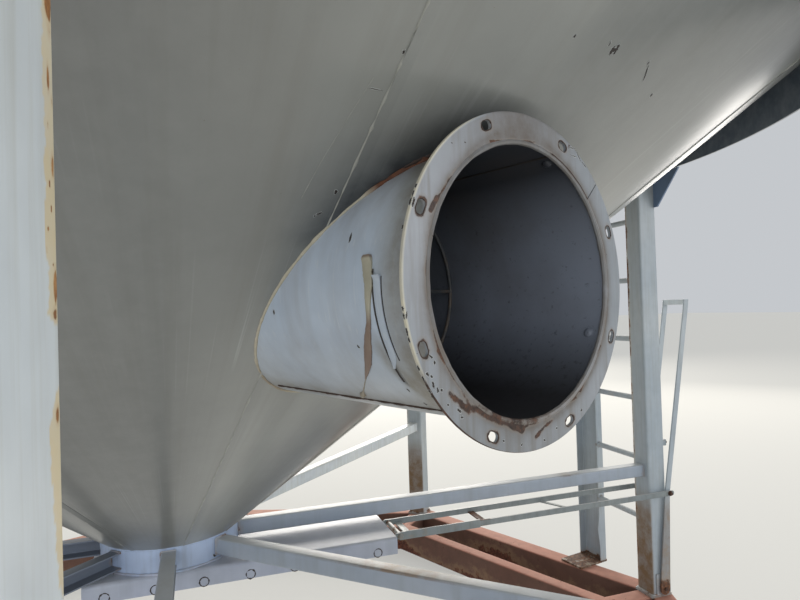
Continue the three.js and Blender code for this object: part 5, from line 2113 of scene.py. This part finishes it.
@dataclass
class LeverWork:
    """The link frame, the lever and the bracket that it swings on."""

    gate: OutletGate
    legs: Legs
    half_gap: float = 0.082
    link_sheet: float = 0.008
    link_height: float = 0.025
    end_margin: float = 0.024
    ties: tuple[float, float] = (0.935, 1.290)
    brace: float = 1.700
    pin_x: float = 2.280
    fulcrum_x: float = 2.247
    fulcrum_z: float = 0.191
    fulcrum_rod: float = 0.008
    outer_half: float = 0.074
    arm_sheet: float = 0.008
    arm_width: float = 0.027
    foot_width: float = 0.056
    handle_x: float = 2.440
    handle_z: float = 1.588
    band_sheet: float = 0.006
    band_back: float = 2.207
    band_low: float = 0.165
    band_high: float = 0.262
    stub_place: tuple[float, float] = (-0.036, 0.893)

    def dress(self, maker: Maker) -> None:
        """Makes link, lever and bracket."""
        self.make_link(maker)
        self.make_lever(maker)
        self.make_bracket(maker)

    def make_link(self, maker: Maker) -> None:
        """Two flat bars with round ends, a stiffener, two ties, a brace, the pin and the bolts."""
        start = self.gate.pivot_x - self.end_margin
        end = self.pin_x + self.end_margin
        z = self.gate.pivot_z
        outside = self.half_gap + self.link_sheet
        half = self.link_height / 2
        outline = rounded([(start, -half), (end, -half), (end, half), (start, half)], half * 0.96, 8)
        flat = dense(outline, 0.03)
        skin = Skin()
        for side in (-1, 1):
            plate = prism(flat, (0.0, side * (self.half_gap + self.link_sheet / 2), z),
                          ALONG_X, UP, self.link_sheet)
            splice = bell(plate.points[..., 0] - self.ties[1] + 0.02, 0, 0.035) * (side < 0)
            skin.add(plate, rust=np.clip(0.75 * splice + 0.1, 0, 1))
            hex_bolt(skin, (self.pin_x, side * outside, z), (0.0, side, 0.0), 0.019, 1)
            hex_bolt(skin, (self.gate.pivot_x, side * outside, z), (0.0, side, 0.0), 0.019)
        stiffener = box_outline(0.007, self.link_height + 0.008, 0.001, 2)
        reach, low = outside - 0.001, z - half + 0.005
        skin.add(bar_along_x(stiffener, start + 0.02, self.ties[1] - 0.035, -reach, z), rust=0.22)
        skin.add(rod_along_y(self.gate.pivot_x, z, -outside, outside, self.gate.pivot_rod, 24), rust=0.4)
        tie = box_outline(0.028, 0.006, 0.001, 2)
        for x, rust in zip(self.ties, (0.12, 0.6)):
            skin.add(bar(tie, (x, -reach, low), (x, reach, low)), rust=rust)
        brace = box_outline(0.016, 0.005, 0.001, 2)
        skin.add(bar(brace, (self.brace - 0.045, reach, low), (self.brace + 0.045, -reach, low)),
                 rust=0.12)
        maker.make("link_frame", skin, ["link", "rusted"], Body.LINK,
                   stands_for=["link_frame"], bevel=0.001)

    def arm(self) -> Surface:
        """A flat bar that tapers up from its round foot and then leans out to the handle.

        Row i is a rectangle of the bar's thickness and of the width at that height. Below the
        fulcrum the half width is that of a circle, sqrt(r^2 - d^2).
        """
        foot, knee, high = self.foot_width / 2, self.gate.pivot_z, self.handle_z
        drop = foot * np.cos(np.linspace(0.03, math.pi / 2, 9)[:-1])
        z = np.concatenate([self.fulcrum_z - drop, np.linspace(self.fulcrum_z, knee, 12)[:-1],
                            np.linspace(knee, high + 0.012, 24)])
        taper = np.interp(z, [self.fulcrum_z, knee], [foot, self.arm_width / 2])
        half = np.where(z < self.fulcrum_z,
                        np.sqrt(np.maximum(foot**2 - (self.fulcrum_z - z) ** 2, 1e-8)), taper)
        x = np.interp(z, [self.fulcrum_z, knee, high], [self.fulcrum_x, self.pin_x, self.handle_x])
        base = rounded([(-1.0, -0.5), (1.0, -0.5), (1.0, 0.5), (-1.0, 0.5)], 0.08, 2)
        return lofted(np.stack(np.broadcast_arrays(
            x[:, None] + base[:, 0] * half[:, None], base[:, 1] * self.arm_sheet, z[:, None]), -1))

    def make_lever(self, maker: Maker) -> None:
        """Two arms and the cross handle."""
        middle = self.outer_half - self.arm_sheet / 2
        skin = Skin()
        for side in (-1, 1):
            arm = self.arm().moved((0.0, side * middle, 0.0))
            z = arm.points[..., 2]
            low = ramp(z, self.gate.pivot_z - 0.02, -0.05)
            skin.add(arm, rust=0.34 * fade(z, 0.2, 0.06) + 0.04 + 0.2 * low, tone=0.6 * low)
        eye = rod_along_y(self.fulcrum_x, self.fulcrum_z, -0.2, 0.2,
                          self.fulcrum_rod + self.gate.pivot_play, 32)
        maker.make("gate_lever", skin, ["frame"], Body.LEVER,
                   stands_for=["gate_lever"], cutters=[eye], crease=40)
        outline = box_outline(self.arm_width, self.arm_width, 0.004, 3)
        end = self.outer_half - 0.001
        handle = bar(outline, (self.handle_x, -end, self.handle_z), (self.handle_x, end, self.handle_z))
        # The handle takes the lighter enamel that paints light.
        maker.make("lever_handle", Skin().add(handle, rust=0.1), ["painted_light_worn"],
                   Body.LEVER)

    def make_bracket(self, maker: Maker) -> None:
        """The band round leg 1 with the lever's pins, and the stub that the lever is locked to."""
        inner = self.legs.width / 2 + SEAT + self.band_sheet / 2
        face = self.legs.radius + self.legs.depth / 2 + SEAT
        front = face + self.band_sheet / 2
        outline = folded([(self.band_back, -inner), (front, -inner), (front, inner),
                          (self.band_back, inner)], self.band_sheet, 0.0031, 3)
        path = np.array([(0.0, 0.0, self.band_low), (0.0, 0.0, self.band_high)])
        band = sweep(outline, path, ALONG_Y, side=ALONG_X)
        skin = Skin().add(band, rust=0.35)
        for side in (-1, 1):
            skin.add(rod_along_y(self.fulcrum_x, self.fulcrum_z, side * inner,
                                 side * (self.outer_half + 0.006), self.fulcrum_rod, 24), 1)
        maker.make("lever_bracket", skin, ["frame", "rusted"],
                   stands_for=["lever_bracket"], bevel=0.001)
        y, z = self.stub_place
        block = box_outline(0.022, 0.030, 0.002)
        stub = Skin().add(bar_along_x(block, face - 0.001, face + 0.020, y, z), rust=0.3)
        hex_bolt(stub, (face + 0.019, y, z), ALONG_X, 0.016, 1)
        maker.make("lever_lock_stub", stub, ["frame", "rusted"],
                   bevel=0.001)


@dataclass
class Ladders:
    """The lower rungs beside leg 1, the wall ladder and the roof ladder."""

    shell: Shell
    roof: Roof
    pitch: float = 0.300
    rung: float = 0.014
    first: float = 0.507
    lower_rungs: int = 6
    post_azimuth: float = 11.6
    post_radius: float = 2.290
    post_width: float = 0.150
    post_depth: float = 0.050
    post_sheet: float = 0.006
    foot_inner: float = 2.086
    rung_inset: float = 0.0335
    azimuth: float = 6.0
    half_width: float = 0.200
    standoff: float = 0.150
    rail_width: float = 0.040
    rail_sheet: float = 0.010
    upper_rungs: int = 14
    bracket_heights: tuple[float, ...] = (2.5, 3.7, 4.9, 5.9)
    roof_rungs: int = 6

    def dress(self, maker: Maker) -> None:
        """Makes the three ladders."""
        self.make_lower(maker)
        self.make_upper(maker)
        self.make_roof(maker)

    def make_lower(self, maker: Maker) -> None:
        """A folded channel post with rungs from leg 1, and its foot."""
        inner = self.post_radius - self.post_depth
        half, inset = self.post_width / 2, self.post_sheet / 2
        base = Legs.skid_top + SEAT
        outline = folded([
            (inner, -half + inset), (self.post_radius - inset, -half + inset),
            (self.post_radius - inset, half - inset), (inner, half - inset),
        ], self.post_sheet, 0.007)
        count = 70
        z = np.linspace(base, self.shell.skirt_bottom - SEAT, count)
        path = np.column_stack([np.zeros((count, 2)), z])
        post = sweep(outline, path, ALONG_Y, side=ALONG_X)
        dent = 0.012 * bell(z, 0.33, 0.05)[:, None]
        on_flange = (post.points[..., 1] < -half + 0.02) & (post.points[..., 0] < inner + 0.03)
        post.points[..., 1] += dent * on_flange
        rust = 0.38 * np.exp(-(post.points[..., 2] - 0.16) / 0.04) + 0.05
        skin = Skin().add(post.turned(self.post_azimuth), rust=rust)
        sole = box_outline(self.post_radius - self.foot_inner, self.post_width, 0.004)
        middle = (self.post_radius + self.foot_inner) / 2
        foot = bar(sole, (middle, 0.0, base), (middle, 0.0, base + Legs.foot_plate), ALONG_Y)
        # The foot's rust and full brown tone are partly real and partly painted shade at the post's
        # base.
        skin.add(foot.turned(self.post_azimuth), rust=0.52, tone=1.0)
        away = math.radians(self.post_azimuth)
        middle = self.post_radius - self.rung_inset
        x = middle * math.cos(away) + (half - 0.003) * math.sin(away)
        y = middle * math.sin(away) - (half - 0.003) * math.cos(away)
        leg_side, ring = Legs.width / 2, circle(self.rung + 0.002, 20)
        for i in range(self.lower_rungs):
            height = self.first + self.pitch * i
            skin.add(rod_along_y(x, height, leg_side + SEAT, y, self.rung, 20), rust=0.2)
            for y_end in (leg_side + 0.002, y - 0.001):
                path = np.column_stack([x + ring[:, 0], y_end + 0 * ring[:, 0], height + ring[:, 1]])
                skin.add(bead(path, ALONG_Y, 0.003, 7 * i, closed=True), rust=0.4)
        maker.make("lower_ladder", skin, ["frame"], stands_for=["lower_ladder"],
                   crease=40)

    def make_upper(self, maker: Maker) -> None:
        """Two flat rails on brackets, with round rungs through them."""
        near = self.shell.wall_radius + self.standoff
        low = self.first + self.pitch * self.lower_rungs - self.pitch / 3
        high = low + self.pitch * self.upper_rungs
        middle = near + self.rail_width / 2
        skin = Skin()
        rail = box_outline(self.rail_width, self.rail_sheet, 0.002, 3)
        arm = box_outline(self.rail_sheet - 0.001, 0.040, 0.001, 2)
        pad = box_outline(0.060, 0.090, 0.004)
        for side in (-1, 1):
            y = side * (self.half_width + self.rail_sheet / 2)
            skin.add(bar(rail, (middle, y, low), (middle, y, high), ALONG_Y, 0.1).turned(self.azimuth),
                     rust=0.15)
            foot = math.sqrt(self.shell.wall_radius**2 - y**2)
            for z in self.bracket_heights:
                for outline, end in ((arm, near + 0.005), (pad, foot + 0.005)):
                    made = bar_along_x(outline, foot + SEAT, end, y, z)
                    skin.add(made.turned(self.azimuth), rust=0.3)
        outside = self.half_width + self.rail_sheet
        for i in range(self.upper_rungs):
            z = self.first + self.pitch * (self.lower_rungs + i)
            rung = rod_along_y(middle, z, -outside, outside, self.rung, 16)
            skin.add(rung.turned(self.azimuth), rust=0.25)
        maker.make("wall_ladder", skin, ["frame"], stands_for=["wall_ladder"],
                   crease=40)

    def make_roof(self, maker: Maker) -> None:
        """Two rails that lie on the roof, with rungs between them."""
        start, end = self.shell.wall_radius - 0.060, self.roof.neck_radius + 0.160
        slope = math.radians(self.roof.slope)
        rise = (self.roof.sheet + SEAT) / math.cos(slope)
        normal = np.array([math.sin(slope), 0.0, math.cos(slope)])
        depth = 0.060 * math.cos(slope)
        skin = Skin()
        low, half = 0.0006, self.rail_sheet / 2
        outline = rounded([(-half, low), (half, low), (half, depth), (-half, depth)], 0.0015, 2)
        run = np.linspace(start, end, 30)
        for side in (-1, 1):
            y = side * (self.half_width + half)
            path = np.column_stack([run, y + 0 * run, self.roof.height(np.hypot(run, y)) + rise])
            skin.add(sweep(outline, path, normal, side=ALONG_Y).turned(self.azimuth), rust=0.25)
        outside = self.half_width + self.rail_sheet
        for i in range(self.roof_rungs):
            x = start - 0.120 - i * (start - end - 0.240) / (self.roof_rungs - 1)
            z = self.roof.height(x) + rise + 0.040
            rung = rod_along_y(x, z, -outside, outside, self.rung, 16)
            skin.add(rung.turned(self.azimuth), rust=0.3)
        maker.make("roof_ladder", skin, ["frame"], stands_for=["roof_ladder"],
                   crease=40)


# Stage


@dataclass
class Studio:
    """The camera at the photograph's viewing angle, a pale floor and soft light."""

    eye: tuple[float, float, float] = (0.11002, -2.48434, 1.59484)
    heading: float = 18.68
    pitch: float = 0.886
    roll: float = 1.79
    lens: float = 27.18
    sensor: float = 36.0
    floor_half: float = 60.0

    def camera(self) -> None:
        """Adds the camera.

        It looks along +Y turned clockwise by the heading, up by the pitch, and rolled about its
        own line of sight.
        """
        data = bpy.data.cameras.new("camera")
        data.lens, data.sensor_width = self.lens, self.sensor
        data.clip_start, data.clip_end = 0.02, 300.0
        camera = bpy.data.objects.new("camera", data)
        bpy.context.scene.collection.objects.link(camera)
        heading, pitch, roll = (math.radians(a) for a in (self.heading, self.pitch, self.roll))
        turned_to = (Matrix.Rotation(-heading, 4, "Z") @ Matrix.Rotation(math.pi / 2 + pitch, 4, "X")
                     @ Matrix.Rotation(-roll, 4, "Z"))
        camera.matrix_world = Matrix.Translation(Vector(turn(np.array(self.eye)))) @ turned_to
        bpy.context.scene.camera = camera

    def floor(self) -> None:
        """Adds the floor, a plain pale matt sheet."""
        mesh = bpy.data.meshes.new("floor")
        h = self.floor_half
        mesh.from_pydata([(-h, -h, 0), (h, -h, 0), (h, h, 0), (-h, h, 0)], [], [(0, 1, 2, 3)])
        floor = bpy.data.objects.new("floor", mesh)
        bpy.context.scene.collection.objects.link(floor)
        web = Web("pale_floor")
        shader = web.add("BsdfPrincipled", "BSDF", {
            "Base Color": "#9f9d97", "Roughness": 0.95, "Specular IOR Level": 0.2,
            "Emission Color": "#f2f2ee", "Emission Strength": 0.42})
        mesh.materials.append(web.close(shader))

    def light(self, name: str, place: Sequence[float], aim: Sequence[float], size: float,
              power: float, colour: str) -> None:
        """Adds a soft square light.

        Args:
            name: Its name.
            place: Where it stands.
            aim: What it looks at.
            size: Side of the square.
            power: Power in watts.
            colour: sRGB hex colour.
        """
        data = bpy.data.lights.new(name, "AREA")
        data.size, data.energy, data.color = size, power, linear(colour)[:3]
        lamp = bpy.data.objects.new(name, data)
        bpy.context.scene.collection.objects.link(lamp)
        lamp.location = place
        lamp.visible_camera = False
        lamp.rotation_euler = (Vector(aim) - Vector(place)).to_track_quat("-Z", "Y").to_euler()

    def dress(self) -> None:
        """Adds camera, floor, lights and sky."""
        self.camera()
        self.floor()
        self.light("key", (8.5, 5.5, 4.5), (0.6, -0.3, 1.2), 5.0, 210.0, "#fffaf2")
        self.light("back", (3.5, 14.0, 4.5), (0.3, 0.0, 0.8), 9.0, 2000.0, "#fffaf2")
        self.light("left_fill", (-4.0, -9.0, 3.0), (0.3, -1.2, 1.2), 5.0, 250.0, "#eef3ff")
        self.light("right_fill", (7.0, -7.0, 3.5), (0.3, -1.2, 1.2), 5.0, 130.0, "#f6f8ff")
        self.light("near_fill", (3.6, -3.4, 2.0), (0.0, -2.3, 1.5), 0.8, 12.0, "#f6f8ff")
        world = bpy.data.worlds.new("pale_sky")
        bpy.context.scene.world = world
        world.use_nodes = True
        sky = world.node_tree.nodes["Background"]
        sky.inputs["Color"].default_value = linear("#eef2f7")
        sky.inputs["Strength"].default_value = 0.65
        bpy.context.scene.view_settings.view_transform = "Standard"


def main() -> None:
    """Builds and dresses the silo, sub-assembly by sub-assembly."""
    logging.basicConfig(level=logging.INFO, format="%(name)s: %(message)s")
    Studio().dress()
    maker, shell = Maker(make_finishes()), Shell()
    duct = AerationDuct()
    HopperCone(shell).dress(maker, duct)
    duct.dress(maker, shell)
    Wall(shell).dress(maker)
    roof = Roof(shell)
    roof.dress(maker)
    legs = Legs(shell)
    legs.dress(maker)
    Spokes().dress(maker)
    Skid().dress(maker)
    gate = OutletGate(shell)
    gate.dress(maker)
    LeverWork(gate, legs).dress(maker)
    Ladders(shell, roof).dress(maker)
    log.info("%d pieces", maker.pieces)
    bpy.context.view_layer.update()


if __name__ == "__main__":
    main()
